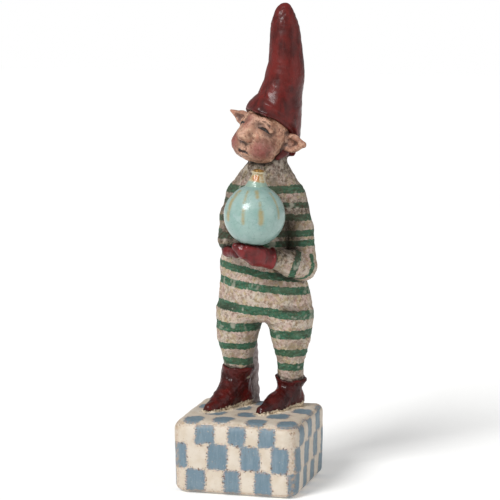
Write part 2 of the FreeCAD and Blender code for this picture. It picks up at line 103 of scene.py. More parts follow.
def curve(heights, column, z, steps=400, reach=22):
    """A column of a level table, drawn as a smooth curve over height."""
    fine = np.linspace(heights[0], heights[-1], steps)
    value = np.interp(fine, heights, column)
    window = np.hanning(2 * reach + 1)
    ends = np.concatenate(
        [2 * value[0] - value[reach:0:-1], value, 2 * value[-1] - value[-2 : -reach - 2 : -1]]
    )
    smooth = np.convolve(ends, window / window.sum(), "valid")
    return np.interp(z, fine, smooth).astype(np.float32)


def stack(p, levels, k=0.8):
    """A form through level ovals: each is height, centre x, centre y, half width, half depth."""
    levels = np.array(levels, float)
    heights = levels[:, 0]
    z = np.clip(p[:, 2], heights[0], heights[-1])
    cx, cy, wide, deep = (curve(heights, levels[:, i], z) for i in range(1, 5))
    x, y = p[:, 0] - cx, p[:, 1] - cy
    k0 = np.sqrt((x / wide) ** 2 + (y / deep) ** 2)
    k1 = np.sqrt((x / wide**2) ** 2 + (y / deep**2) ** 2)
    side = k0 * (k0 - 1) / np.maximum(k1, 1e-6)
    beyond = np.maximum(heights[0] - p[:, 2], p[:, 2] - heights[-1])
    return carve(side, -beyond, k)


def turn(axis, degrees):
    c, s = math.cos(math.radians(degrees)), math.sin(math.radians(degrees))
    return {
        "x": np.array([[1, 0, 0], [0, c, -s], [0, s, c]]),
        "y": np.array([[c, 0, s], [0, 1, 0], [-s, 0, c]]),
        "z": np.array([[c, -s, 0], [s, c, 0], [0, 0, 1]]),
    }[axis]
def ease(t):
    """A share from 0 to 1 that starts and ends gently."""
    return t * t * (3 - 2 * t)


# Lumps: value noise on a fixed random lattice, so every run is the same.

LATTICE_SIZE = 32
LATTICE = np.random.default_rng(7).random((LATTICE_SIZE,) * 3).astype(np.float32)
CORNERS = [np.array([n & 1, n >> 1 & 1, n >> 2 & 1]) for n in range(8)]


def lumps(p, size, shift=0.0):
    """Smooth noise from -1 to 1, with lumps of about this size in millimetres."""
    q = p / size + shift
    cell = np.floor(q).astype(np.int64)
    f = ease((q - cell).astype(np.float32))
    total = np.zeros(len(p), np.float32)
    for corner in CORNERS:
        i, j, k = ((cell + corner) & (LATTICE_SIZE - 1)).T
        weight = np.prod(np.where(corner, f, 1 - f), axis=1)
        total += weight * LATTICE[i, j, k]
    return 2 * total - 1


# Meshing: surface nets on a grid, then each vertex is drawn onto the field's surface.

EDGES = [(a, b) for a in range(8) for b in range(a + 1, 8) if (a ^ b).bit_count() == 1]
POINTS_AT_ONCE = 400000


def sample(field, low, counts, pitch):
    """The field's values on a grid, worked out slab by slab."""
    y = low[1] + pitch * np.arange(counts[1])
    z = low[2] + pitch * np.arange(counts[2])
    gy, gz = (g.ravel().astype(np.float32) for g in np.meshgrid(y, z, indexing="ij"))
    values = np.empty(counts, np.float32)
    slab = max(1, POINTS_AT_ONCE // len(gy))
    for start in range(0, counts[0], slab):
        xs = (low[0] + pitch * np.arange(start, min(start + slab, counts[0]))).astype(np.float32)
        points = np.empty((len(xs) * len(gy), 3), np.float32)
        points[:, 0] = np.repeat(xs, len(gy))
        points[:, 1] = np.tile(gy, len(xs))
        points[:, 2] = np.tile(gz, len(xs))
        values[start : start + len(xs)] = field(points).reshape(len(xs), counts[1], counts[2])
    return values


def nets(field, low, high, pitch):
    """Vertices and quads of the field's zero surface inside a box, closed where it meets the box."""
    low = np.asarray(low, float)
    counts = tuple(int(math.ceil((h - l) / pitch)) + 1 for l, h in zip(low, high))
    values = sample(field, low, counts, pitch)
    for side in (0, -1):
        values[side], values[:, side], values[:, :, side] = pitch, pitch, pitch
    inside = values < 0
    cells = tuple(c - 1 for c in counts)
    held = np.zeros(cells, np.int8)
    for o in CORNERS:
        held += inside[o[0] : o[0] + cells[0], o[1] : o[1] + cells[1], o[2] : o[2] + cells[2]]
    active = np.argwhere((held > 0) & (held < 8))
    number = np.full(cells, -1, np.int64)
    number[tuple(active.T)] = np.arange(len(active))
    at = [values[tuple((active + o).T)] for o in CORNERS]
    position = np.zeros((len(active), 3))
    crossings = np.zeros(len(active))
    for a, b in EDGES:
        crosses = (at[a] < 0) != (at[b] < 0)
        t = np.where(crosses, at[a] / np.where(crosses, at[a] - at[b], 1), 0)
        point = CORNERS[a] + t[:, None] * (CORNERS[b] - CORNERS[a])
        position += point * crosses[:, None]
        crossings += crosses
    vertices = low + pitch * (active + position / crossings[:, None])
    quads = []
    step = np.eye(3, dtype=int)
    for axis in range(3):
        u, v = (axis + 1) % 3, (axis + 2) % 3
        near = [slice(0, c) for c in counts]
        far = list(near)
        near[axis], far[axis] = slice(0, counts[axis] - 1), slice(1, counts[axis])
        edges = np.argwhere(inside[tuple(near)] != inside[tuple(far)])
        fits = (edges[:, u] > 0) & (edges[:, v] > 0)
        fits &= (edges[:, u] < cells[u]) & (edges[:, v] < cells[v])
        edges = edges[fits]
        ring = (step[u] + step[v], step[v], 0 * step[u], step[u])
        quad = np.stack([number[tuple((edges - o).T)] for o in ring], axis=1)
        flip = ~inside[tuple(edges.T)]
        quad[flip] = quad[flip][:, ::-1]
        quads.append(quad)
    return vertices, np.concatenate(quads)


def gradient(field, p, reach=0.12):
    p = p.astype(np.float32)
    g = np.empty((len(p), 3), np.float32)
    for axis in range(3):
        step = np.zeros(3, np.float32)
        step[axis] = reach
        g[:, axis] = field(p + step) - field(p - step)
    return g / (2 * reach)


def settle(field, p, pitch, rounds=2):
    """Draws vertices onto the zero surface, each round by at most most_of_pitch."""
    least_slope, most_of_pitch = 0.2, 0.6
    for _ in range(rounds):
        d = field(p.astype(np.float32))
        g = gradient(field, p)
        size = np.maximum((g * g).sum(1), least_slope)
        move = -(d / size)[:, None] * g
        far = np.maximum(length(move) / (most_of_pitch * pitch), 1)
        p = p + move / far[:, None]
    return p


def unit(v):
    return v / np.maximum(length(v), 1e-9)[:, None]


def make_mesh(name, vertices, quads, marks):
    """A smooth mesh object from millimetre vertices, with float marks kept on the vertices."""
    mesh = bpy.data.meshes.new(name)
    mesh.vertices.add(len(vertices))
    mesh.vertices.foreach_set("co", (vertices * MM).astype(np.float32).ravel())
    mesh.loops.add(4 * len(quads))
    mesh.loops.foreach_set("vertex_index", quads.astype(np.int32).ravel())
    mesh.polygons.add(len(quads))
    mesh.polygons.foreach_set("loop_start", np.arange(0, 4 * len(quads), 4, dtype=np.int32))
    mesh.polygons.foreach_set("use_smooth", np.ones(len(quads), bool))
    mesh.update(calc_edges=True)
    mesh.validate()
    for mark, values in marks.items():
        layer = mesh.attributes.new(mark, "FLOAT", "POINT")
        layer.data.foreach_set("value", np.asarray(values, np.float32))
    piece = bpy.data.objects.new(name, mesh)
    bpy.context.scene.collection.objects.link(piece)
    return piece


# How far off the surface a hollow is felt for.
HOLLOW_REACH = 1.6


def sculpt(node, field, relief, marks, finish, pitch, around, margin):
    """Meshes a field in the space of a CAD node, and lets the piece stand for the node.

    relief gives each vertex its height off the smooth form, and marks its paint distances.
    finish is a material and the record's slot for it. around is the field that says how deep each
    vertex lies in a hollow, or None for the piece's own. margin is the room left round the node.
    """
    low, high = box_mm(node)
    vertices, quads = nets(field, low - margin, high + margin, pitch)
    vertices = settle(field, vertices, pitch)
    normals = unit(gradient(field, vertices))
    height = relief(vertices, normals)
    whole = around or field
    # How deep each vertex lies in a crevice; the materials paint shade from it.
    outside = whole((vertices + HOLLOW_REACH * normals).astype(np.float32))
    layers = {"height": height, "hollow": 1 - outside / HOLLOW_REACH}
    for mark, rule in marks.items():
        layers[mark] = rule(vertices, normals)
    piece = make_mesh(f"{node}_form", vertices + height[:, None] * normals, quads, layers)
    material, slot = finish
    piece.data.materials.append(material)
    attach(piece, "root")
    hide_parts(node)


# Materials. A colour is three sRGB levels, 0 to 255.


def linear(levels):
    """An sRGB colour as linear light, with full opacity."""
    shares = [level / 255 for level in levels]
    return (*(s / 12.92 if s <= 0.04045 else ((s + 0.055) / 1.055) ** 2.4 for s in shares), 1.0)


class Nodes:
    """Short calls for building one material's node tree."""

    def __init__(self, name):
        self.material = bpy.data.materials.new(name)
        self.material.use_nodes = True
        self.tree = self.material.node_tree
        self.shader = self.tree.nodes["Principled BSDF"]
        self.where = self.new("ShaderNodeTexCoord").outputs["Object"]

    def new(self, kind, **settings):
        node = self.tree.nodes.new(kind)
        for key, value in settings.items():
            setattr(node, key, value)
        return node

    def join(self, source, socket):
        """Links an output to a socket, or sets the socket to a number or a colour."""
        if hasattr(source, "is_output"):
            self.tree.links.new(source, socket)
        else:
            socket.default_value = linear(source) if isinstance(source, tuple) else source

    def mark(self, name):
        return self.new("ShaderNodeAttribute", attribute_name=name).outputs["Fac"]

    def noise(self, size_mm, detail=3.0, stretch=None, rough=0.55, shift=0.0):
        """Noise from 0 to 1 with features of about this size, optionally stretched per axis."""
        mapping = self.new("ShaderNodeMapping")
        mapping.inputs["Scale"].default_value = stretch or (1, 1, 1)
        mapping.inputs["Location"].default_value = (shift, shift, shift)
        self.join(self.where, mapping.inputs["Vector"])
        node = self.new("ShaderNodeTexNoise")
        self.join(mapping.outputs["Vector"], node.inputs["Vector"])
        node.inputs["Scale"].default_value = 1 / (size_mm * MM)
        node.inputs["Detail"].default_value = detail
        node.inputs["Roughness"].default_value = rough
        return node.outputs["Fac"]

    def math(self, operation, a, b=0.0):
        node = self.new("ShaderNodeMath", operation=operation)
        self.join(a, node.inputs[0])
        self.join(b, node.inputs[1])
        return node.outputs[0]

    def times(self, *factors):
        product = factors[0]
        for factor in factors[1:]:
            product = self.math("MULTIPLY", product, factor)
        return product

    def without(self, share):
        """What is left of one when a share is taken away."""
        return self.math("SUBTRACT", 1.0, share)

    def ramp(self, value, low, high, out_low=0.0, out_high=1.0):
        """A smooth step of a value between two limits."""
        node = self.new("ShaderNodeMapRange", interpolation_type="SMOOTHSTEP", clamp=True)
        limits = {"From Min": low, "From Max": high, "To Min": out_low, "To Max": out_high}
        for key, number in {"Value": value, **limits}.items():
            self.join(number, node.inputs[key])
        return node.outputs["Result"]

    def wobble(self, value, reach, *size_and_detail, **look):
        """A value that noise moves up and down, by at most half the reach."""
        noise = self.math("SUBTRACT", self.noise(*size_and_detail, **look), 0.5)
        return self.math("ADD", value, self.times(noise, reach))

    def mix(self, factor, a, b):
        node = self.new("ShaderNodeMix", data_type="RGBA", blend_type="MIX")
        self.join(factor, node.inputs["Factor"])
        self.join(a, node.inputs[6])
        self.join(b, node.inputs[7])
        return node.outputs[2]

    def cloud(self, a, b, low, high, *size_and_detail, **look):
        """One colour going over into another in noisy patches."""
        return self.mix(self.ramp(self.noise(*size_and_detail, **look), low, high), a, b)

    def patch(self, colour, paint, low, high, amount, *size_and_detail, **look):
        """Paint over a colour, up to an amount, where noise rises from low to high."""
        there = self.ramp(self.noise(*size_and_detail, **look), low, high, 0, amount)
        return self.mix(there, colour, paint)

    def marked(self, colour, paint, mark, low, high, at_low, at_high):
        """Paint over a colour, by one of the mesh's marks."""
        return self.mix(self.ramp(self.mark(mark), low, high, at_low, at_high), colour, paint)

    def bump(self, height, distance_mm, strength=1.0, under=None):
        node = self.new("ShaderNodeBump")
        node.inputs["Distance"].default_value = distance_mm * MM
        node.inputs["Strength"].default_value = strength
        self.join(height, node.inputs["Height"])
        if under is not None:
            self.join(under, node.inputs["Normal"])
        return node.outputs["Normal"]

    def finish(
        self, colour, roughness, normal=None, coat=0.0, coat_roughness=0.1, specular=0.5, metallic=0.0
    ):
        """Joins up the shader. What is the same all over is set on the shader's own sockets."""
        self.join(colour, self.shader.inputs["Base Color"])
        self.join(roughness, self.shader.inputs["Roughness"])
        if normal is not None:
            self.join(normal, self.shader.inputs["Normal"])
        self.shader.inputs["Coat Weight"].default_value = coat
        self.shader.inputs["Coat Roughness"].default_value = coat_roughness
        self.shader.inputs["Specular IOR Level"].default_value = specular
        self.shader.inputs["Metallic"].default_value = metallic
        return self.material


def suit_material():
    """Beige and pink ground, green brush stripes, brown glaze with painted shade in the crust's pits and
    low points, painted shade in the hollows, under the chin and where the arms meet the body, and painted
    highlights on the crust's high points.
    """
    n = Nodes("suit_paint")
    grain = n.noise(1.3, 5, rough=0.7)
    base = n.cloud((190, 178, 162), (190, 165, 154), 0.35, 0.65, 6.0, 2)
    base = n.patch(base, (176, 157, 118), 0.46, 0.64, 0.75, 2.6, 3, shift=0.3)
    base = n.patch(base, (166, 118, 106), 0.56, 0.68, 0.6, 1.7, 3, shift=0.9)
    base = n.patch(base, (212, 202, 188), 0.54, 0.66, 0.6, 1.2, 4, shift=0.55)
    green = n.cloud((24, 72, 50), (64, 112, 86), 0.38, 0.66, 1.0, 4, stretch=(0.25, 0.25, 1.0), rough=0.7)
    green = n.patch(green, (28, 88, 58), 0.4, 0.7, 0.6, 5.0, 2, shift=0.2)
    green = n.patch(green, (98, 134, 112), 0.56, 0.68, 0.6, 1.4, 4, shift=0.75)
    stripe = n.ramp(n.wobble(n.mark("band"), 1.8, 1.5, 3, shift=0.6), -0.14, 0.14, 1, 0)
    bare = n.ramp(n.noise(0.9, 4, rough=0.7, shift=0.4), 0.62, 0.72, 0, 0.6)
    stripe = n.times(stripe, n.without(bare))
    colour = n.mix(stripe, base, green)
    # Brown glaze in the crust's pits, and painted shade in its low points.
    low = n.ramp(n.mark("height"), -0.34, 0.02, 1, 0)
    pits = n.ramp(grain, 0.38, 0.52, 1, 0)
    wash_and_shade = n.times(n.math("MAXIMUM", n.times(low, 0.85), pits), 0.6)
    colour = n.mix(n.times(wash_and_shade, n.without(n.times(stripe, 0.45))), colour, (98, 78, 56))
    spots = n.ramp(n.noise(1.0, 4, rough=0.65, shift=0.25), 0.32, 0.40, 0.6, 0)
    colour = n.mix(spots, colour, (52, 40, 28))
    # Painted shade on the chest, under the chin and where the arms meet the body, with brown glaze.
    wash_and_shade_veil = n.times(n.mark("wash_and_shade"), n.ramp(grain, 0.36, 0.62, 0.97, 0.54))
    colour = n.mix(wash_and_shade_veil, colour, (58, 45, 30))
    # Painted shade in the crevices.
    deep = n.ramp(n.mark("hollow"), 0.07, 0.5, 0, 0.95)
    colour = n.mix(n.times(deep, n.ramp(grain, 0.2, 0.6, 1, 0.7)), colour, (40, 31, 20))
    # Painted highlights on the crust's high points.
    high = n.ramp(n.math("ADD", n.mark("height"), n.times(grain, 0.3)), 0.32, 0.56, 0, 0.4)
    colour = n.mix(high, colour, (212, 200, 184))
    normal = n.bump(n.noise(0.5, 3, rough=0.6), 0.14, 0.8, under=n.bump(grain, 0.55, 1.0))
    return n.finish(colour, n.ramp(grain, 0.3, 0.7, 0.8, 0.5), normal, specular=0.4)


def oxblood_material(name, light, dark, crust, gloss):
    """Dark red gloss paint. crust is how rough and crumbly the paint is, and gloss its coat, 0 to 1."""
    n = Nodes(name)
    colour = n.cloud(dark, light, 0.35, 0.65, 9.0, 3)
    colour = n.patch(colour, (52, 14, 12), 0.45, 0.7, 0.7, 3.0, 4, stretch=(1, 1, 0.25), rough=0.6)
    colour = n.patch(colour, (96, 34, 30), 0.5, 0.7, 0.4, 14, 2, shift=0.7)
    colour = n.patch(colour, (116, 24, 20), 0.52, 0.72, 0.45, 5, 3, shift=0.33)
    # Painted shade in the hollows, heavier on crustier paint.
    colour = n.marked(colour, (30, 10, 9), "hollow", 0.08, 0.55, 0, 0.5 + 0.4 * crust)
    colour = n.marked(colour, (44, 15, 14), "height", -0.3, 0.0, 0.5, 0)
    # Pale rubbed paint on raised points, which also stands in for painted highlight specks.
    rub_and_glint = n.ramp(n.noise(0.9, 4, rough=0.7, shift=0.2), 0.6, 0.68)
    worn = n.times(rub_and_glint, n.ramp(n.mark("height"), 0.1, 0.34), 0.7)
    colour = n.mix(worn, colour, (148, 104, 94))
    colour = n.patch(colour, (146, 96, 80), 0.72, 0.79, 0.6, 0.7, 2, shift=0.5)
    if crust:
        sole = n.ramp(n.wobble(n.mark("sole"), 3.4, 1.6, 4, rough=0.7), -0.2, 0.3, 1, 0)
        crumb = n.cloud((122, 92, 70), (232, 216, 190), 0.38, 0.52, 1.1, 4, rough=0.7, shift=0.6)
        colour = n.mix(n.times(sole, 0.92), colour, crumb)
    fine = n.bump(n.noise(1.6, 4, rough=0.6), 0.22 + 0.4 * crust, 0.6)
    tiny = n.bump(n.noise(0.6, 3, rough=0.65), 0.03 + 0.12 * crust, 0.6, under=fine)
    strokes = n.noise(2.2, 4, stretch=(1, 1, 0.3), rough=0.6, shift=0.4)
    normal = n.bump(strokes, 0.35, 0.6, under=tiny)
    shine = n.ramp(n.noise(3.5, 3, shift=0.1), 0.3, 0.7, 0.32, 0.55)
    return n.finish(colour, shine, normal, coat=gloss, coat_roughness=0.14, specular=0.22 - 0.10 * crust)


def skin_material():
    """Skin with painted cheeks, brown lines for the eyes and mouth, painted shadow on the upper cheeks,
    painted highlights on the nose, muzzle, brow, chin and high points, brown in the low points and painted
    shade in the hollows.
    """
    n = Nodes("skin_paint")
    grain = n.noise(1.0, 5, rough=0.7)
    colour = n.cloud((190, 144, 118), (162, 116, 92), 0.35, 0.65, 4.0, 3)
    colour = n.patch(colour, (208, 170, 142), 0.48, 0.64, 0.75, 1.8, 3, shift=0.4)
    colour = n.patch(colour, (176, 112, 90), 0.54, 0.7, 0.6, 2.4, 3, shift=0.8)
    flush = n.times(n.mark("blush"), n.ramp(grain, 0.25, 0.6, 0.7, 1.0), 0.9)
    colour = n.mix(flush, colour, (134, 66, 62))
    shade = n.times(n.mark("dusk"), n.ramp(grain, 0.25, 0.6, 0.85, 0.6))
    colour = n.mix(shade, colour, (104, 66, 54))
    rose = n.times(n.mark("blush"), n.ramp(n.noise(1.2, 3, shift=0.15), 0.55, 0.66), 0.45)
    colour = n.mix(rose, colour, (176, 112, 104))
    # Painted highlights on the nose, muzzle, brow and chin.
    light = n.times(n.mark("face_highlight"), n.ramp(grain, 0.3, 0.6, 0.25, 0.8))
    colour = n.mix(light, colour, (208, 164, 140))
    colour = n.mix(n.ramp(grain, 0.37, 0.48, 0.75, 0), colour, (98, 56, 40))
    colour = n.marked(colour, (104, 64, 46), "height", -0.26, 0.02, 0.7, 0)
    # Painted shade in the hollows.
    colour = n.marked(colour, (58, 33, 23), "hollow", 0.07, 0.42, 0, 0.95)
    line = n.math("ADD", n.mark("line"), n.times(n.math("SUBTRACT", grain, 0.5), 0.5))
    colour = n.mix(n.ramp(line, -0.05, 0.22, 0.97, 0), colour, (24, 16, 12))
    # Painted highlights on the high points.
    high = n.ramp(n.math("ADD", n.mark("height"), n.times(grain, 0.25)), 0.24, 0.42, 0, 0.4)
    colour = n.mix(high, colour, (214, 178, 154))
    return n.finish(
        colour, n.ramp(grain, 0.3, 0.7, 0.62, 0.38), n.bump(grain, 0.4, 0.9),
        coat=0.12, coat_roughness=0.3, specular=0.45,
    )


def check_material():
    """Cream ground with blue patches, brown and pink specks along their edges, and worn corners."""
    n = Nodes("checked_paint")
    cream = n.cloud((207, 196, 181), (199, 185, 166), 0.35, 0.65, 6.0, 3)
    cream = n.patch(cream, (216, 201, 190), 0.55, 0.75, 0.5, 2.2, 4, shift=0.5)
    blue = n.cloud((98, 121, 134), (116, 135, 146), 0.35, 0.68, 1.2, 4, stretch=(1, 1, 0.16), rough=0.65)
    blue = n.patch(blue, (98, 122, 138), 0.4, 0.7, 0.5, 5.0, 2, shift=0.8)
    edge = n.wobble(n.mark("check"), 5.0, 0.8, 5, stretch=(0.45, 0.45, 1.3), rough=0.85)
    thin = n.ramp(n.noise(0.8, 4, shift=0.9), 0.62, 0.74, 1, 0.4)
    colour = n.mix(n.times(n.ramp(edge, -0.10, 0.10, 1, 0), thin), cream, blue)
    border = n.ramp(n.math("ABSOLUTE", n.mark("check")), 0.3, 1.3, 1, 0)
    border = n.math("MAXIMUM", border, n.ramp(n.mark("round"), 0.15, 0.5, 0, 0.8))
    for paint, low, high, amount, size, detail, rough, shift in (
        ((176, 148, 124), 0.50, 0.60, 0.42, 0.9, 4, 0.75, 0.35),
        ((184, 150, 142), 0.54, 0.64, 0.65, 1.0, 3, 0.6, 0.72),
        ((92, 62, 42), 0.575, 0.645, 0.95, 0.9, 3, 0.6, 0.15),
    ):
        specks = n.ramp(n.noise(size, detail, rough=rough, shift=shift), low, high)
        colour = n.mix(n.times(border, specks, amount), colour, paint)
    colour = n.patch(colour, (150, 112, 78), 0.66, 0.74, 0.6, 1.2, 3, shift=0.65)
    colour = n.patch(colour, (128, 66, 40), 0.72, 0.78, 0.8, 0.7, 2, shift=0.85)
    worn = n.ramp(n.noise(1.8, 4, rough=0.7, shift=0.45), 0.45, 0.58)
    worn = n.times(n.ramp(n.mark("round"), 0.12, 0.5), worn, 0.65)
    colour = n.mix(worn, colour, (176, 150, 122))
    # Painted shade round the boots where they stand on the block.
    colour = n.marked(colour, (92, 70, 50), "hollow", 0.15, 0.8, 0, 0.6)
    crumb = n.ramp(n.wobble(n.mark("crumb"), 4.0, 1.4, 4, rough=0.7), 1.3, 2.9, 1, 0)
    earth = n.cloud((104, 74, 54), (228, 212, 186), 0.38, 0.50, 1.0, 4, rough=0.7, shift=0.6)
    colour = n.mix(n.times(crumb, 0.9), colour, earth)
    normal = n.bump(n.noise(0.9, 4, rough=0.65), 0.2, 0.7, under=n.bump(edge, 0.12, 0.3))
    return n.finish(
        colour, n.ramp(n.noise(2.5, 3), 0.3, 0.7, 0.6, 0.42), normal,
        coat=0.08, coat_roughness=0.35, specular=0.45,
    )


def mint_material():
    """Glossy mint glaze, finely crazed, with gilt strokes."""
    n = Nodes("mint_glaze")
    colour = n.cloud((130, 162, 155), (149, 176, 169), 0.35, 0.65, 9.0, 3)
    colour = n.patch(colour, (128, 162, 152), 0.5, 0.7, 0.5, 4.0, 4, shift=0.3)
    colour = n.patch(colour, (160, 180, 180), 0.54, 0.72, 0.4, 3.0, 4, shift=0.66)
    stroke = n.ramp(n.wobble(n.mark("stroke"), 1.2, 1.2, 4, rough=0.7), -1.1, 0.6, 0.8, 0)
    dry = n.ramp(n.noise(2.0, 4, rough=0.7, shift=0.2), 0.30, 0.54, 0.35, 1)
    colour = n.mix(n.times(stroke, dry), colour, (158, 138, 84))
    cracks = n.new("ShaderNodeTexVoronoi", feature="DISTANCE_TO_EDGE")
    n.join(n.where, cracks.inputs["Vector"])
    cracks.inputs["Scale"].default_value = 1 / (2.6 * MM)
    craze = n.ramp(cracks.outputs["Distance"], 0.0, 0.05, 1, 0)
    craze = n.times(craze, n.ramp(n.noise(5, 2, shift=0.6), 0.45, 0.6))
    colour = n.mix(n.times(craze, 0.3), colour, (84, 112, 102))
    colour = n.patch(colour, (76, 104, 94), 0.64, 0.72, 0.6, 0.8, 3, rough=0.6, shift=0.45)
    colour = n.patch(colour, (196, 206, 196), 0.68, 0.75, 0.6, 0.7, 3, rough=0.6, shift=0.05)
    # Painted shade where the ball lies close to the figure.
    colour = n.marked(colour, (58, 66, 52), "hollow", 0.12, 0.7, 0, 0.85)
    normal = n.bump(craze, -0.08, 0.5, under=n.bump(n.noise(1.8, 4, rough=0.6), 0.28, 0.5))
    return n.finish(
        colour, n.ramp(n.noise(3.0, 3, shift=0.22), 0.3, 0.7, 0.25, 0.45), normal,
        coat=0.5, coat_roughness=0.12,
    )


def gilt_material():
    """Pale gilt, orange where it is stained, and mint at its foot."""
    n = Nodes("gilt")
    colour = n.cloud((186, 178, 150), (166, 138, 92), 0.4, 0.62, 1.6, 3)
    stain = n.ramp(n.wobble(n.mark("stain"), 1.0, 1.0, 3), -0.2, 0.4, 0.95, 0)
    colour = n.mix(stain, colour, (170, 104, 36))
    mint = n.ramp(n.wobble(n.mark("mint"), 1.0, 1.2, 4, shift=0.4), -0.3, 0.5, 0.9, 0)
    colour = n.mix(mint, colour, (132, 164, 150))
    # Painted shade where the cap sits on the ball.
    colour = n.marked(colour, (64, 46, 26), "hollow", 0.2, 0.9, 0, 0.85)
    normal = n.bump(n.noise(0.9, 4, rough=0.6), 0.12, 0.6)
    return n.finish(colour, 0.36, normal, coat=0.4, coat_roughness=0.15)


def ring_material():
    n = Nodes("old_gilt")
    colour = n.cloud((112, 80, 36), (172, 132, 66), 0.4, 0.6, 0.9, 4, rough=0.7)
    return n.finish(colour, 0.42, n.bump(n.noise(0.6, 4), 0.08, 0.6), metallic=0.5)


def pulp_material():
    n = Nodes("bare_pulp")
    grain = n.noise(1.2, 5, rough=0.7)
    colour = n.mix(n.ramp(grain, 0.35, 0.65), (172, 156, 158), (212, 202, 203))
    colour = n.marked(colour, (96, 80, 74), "height", -0.4, 0.1, 0.55, 0)
    # Painted shade where the post stands by the boot, the leg and the block.
    colour = n.marked(colour, (66, 52, 46), "hollow", 0.4, 1.0, 0, 0.4)
    return n.finish(colour, 0.85, n.bump(grain, 0.4, 0.8), specular=0.25)


def felt_material():
    n = Nodes("felt")
    fibre = n.noise(0.5, 5, rough=0.8)
    colour = n.mix(n.ramp(fibre, 0.35, 0.65), (44, 52, 44), (66, 74, 62))
    return n.finish(colour, 0.95, n.bump(fibre, 0.25, 0.9), specular=0.2)


def steel_material():
    n = Nodes("steel")
    drawn = n.noise(0.8, 3, stretch=(1, 1, 0.05))
    colour = n.mix(drawn, (120, 118, 114), (160, 158, 152))
    return n.finish(colour, 0.4, n.bump(drawn, 0.03, 0.4), metallic=1.0)


def wood_material():
    n = Nodes("dowel_wood")
    grain = n.noise(1.0, 4, stretch=(1, 1, 0.08))
    colour = n.mix(n.ramp(grain, 0.35, 0.65), (176, 134, 88), (202, 166, 118))
    return n.finish(colour, 0.7, n.bump(grain, 0.1, 0.5))


# Each finish is a material and the record's slot for it.

SUIT = suit_material(), "suit_paint"
HAT_PAINT = oxblood_material("oxblood_hat", (104, 30, 26), (84, 24, 20), 0.0, 0.14), "oxblood_paint"
MITTEN_PAINT = oxblood_material("oxblood_mitten", (122, 34, 36), (96, 20, 22), 0.2, 0.32), "oxblood_paint"
BOOT_PAINT = oxblood_material("oxblood_boot", (82, 15, 11), (48, 9, 7), 1.0, 0.3), "oxblood_paint"
SKIN = skin_material(), "skin_paint"
CHECKS = check_material(), "checked_paint"
MINT = mint_material(), "mint_glaze"
GILT = gilt_material(), "gilt"
RING = ring_material(), "gilt"
PULP = pulp_material(), "bare_pulp"

# The body in its striped suit. Level tables: height, centre x, centre y, half width, half depth.

TORSO = [
    (75.0, 4.0, 13.4, 21.4, 11.6),
    (79.0, 4.0, 13.4, 22.2, 13.0),
    (85.0, 4.0, 13.2, 21.8, 14.0),
    (93.0, 3.4, 13.0, 20.2, 14.0),
    (100.0, 2.3, 13.2, 19.1, 13.6),
    (104.0, 1.8, 13.3, 18.4, 13.4),
    (109.0, 2.0, 13.4, 16.6, 13.0),
    (120.0, 3.6, 13.6, 13.8, 12.2),
    (132.0, 4.2, 13.8, 13.6, 10.8),
    (139.0, 4.4, 13.8, 13.2, 9.8),
    (143.0, 4.8, 13.6, 11.4, 9.2),
    (147.0, 5.4, 13.4, 8.4, 8.4),
]
COLLAR = [
    (141.0, 4.6, 13.4, 12.2, 9.6),
    (144.0, 5.2, 13.3, 10.2, 9.2),
    (147.0, 5.6, 13.0, 8.8, 8.8),
    (150.0, 5.9, 12.7, 8.4, 8.6),
    (152.4, 6.1, 12.5, 8.0, 8.3),
]
LEGS = {
    "right": [
        (46.0, -8.6, 14.4, 5.8, 6.0),
        (51.0, -8.7, 14.4, 6.4, 6.6),
        (56.5, -9.0, 14.3, 7.1, 7.4),
        (61.5, -9.2, 14.1, 8.3, 8.6),
        (66.0, -9.3, 14.0, 9.6, 10.2),
        (72.0, -8.2, 13.6, 10.6, 11.4),
        (80.0, -7.0, 13.4, 11.2, 12.6),
    ],
    "left": [
        (43.0, 16.0, 15.2, 5.2, 5.4),
        (48.0, 15.9, 15.2, 5.6, 5.8),
        (54.0, 15.9, 14.8, 6.2, 6.6),
        (60.0, 16.2, 14.3, 7.6, 8.0),
        (66.0, 16.4, 13.8, 9.1, 9.8),
        (72.0, 16.0, 13.6, 10.2, 11.2),
        (80.0, 15.0, 13.4, 11.2, 12.6),
    ],
}
ARMS = {
    "right_upper_arm": [(-8.0, 13.8, 131.4, 6.4), (-10.6, 13.0, 122.0, 6.6), (-11.2, 12.2, 113.5, 6.3)],
    "right_forearm": [(-10.9, 12.0, 113.2, 6.2), (-9.6, 0.6, 112.6, 5.0)],
    "left_upper_arm": [(17.0, 13.6, 131.4, 6.5), (20.6, 12.4, 118.0, 6.3), (22.4, 10.6, 101.6, 6.6)],
    "left_forearm": [(22.4, 10.2, 100.4, 6.7), (18.6, 1.2, 103.0, 5.8), (13.6, -6.2, 105.7, 4.7)],
}
SHOULDERS = {
    "right": [(2.0, 13.4, 139.0, 8.0), (-4.4, 13.8, 131.0, 10.0)],
    "left": [(8.0, 13.4, 139.0, 8.0), (12.8, 13.8, 131.2, 10.0)],
}

def torso_field(p):
    d = stack(p, TORSO, 3.0)
    for knots in SHOULDERS.values():
        d = melt(d, chain(p, knots), 4.0)
    belly = egg(p, (3.8, 5.6, 88.0), (14.0, 7.0, 12.0))
    return melt(d, belly, 4.0)


SUIT_FORMS = {
    "torso": torso_field,
    "neck_collar": lambda p: stack(p, COLLAR, 1.5),
    "right_leg": lambda p: stack(p, LEGS["right"], 1.6),
    "left_leg": lambda p: stack(p, LEGS["left"], 1.6),
    **{node: (lambda p, knots=knots: chain(p, knots, 1.5)) for node, knots in ARMS.items()},
}
SUIT_FILLETS = {
    "neck_collar": 1.6,
    "right_leg": 3.2,
    "left_leg": 3.2,
    "right_upper_arm": 1.6,
    "left_upper_arm": 1.2,
    "right_forearm": 1.4,
    "left_forearm": 1.1,
}


def suit_distances(p):
    return {node: form(p) for node, form in SUIT_FORMS.items()}


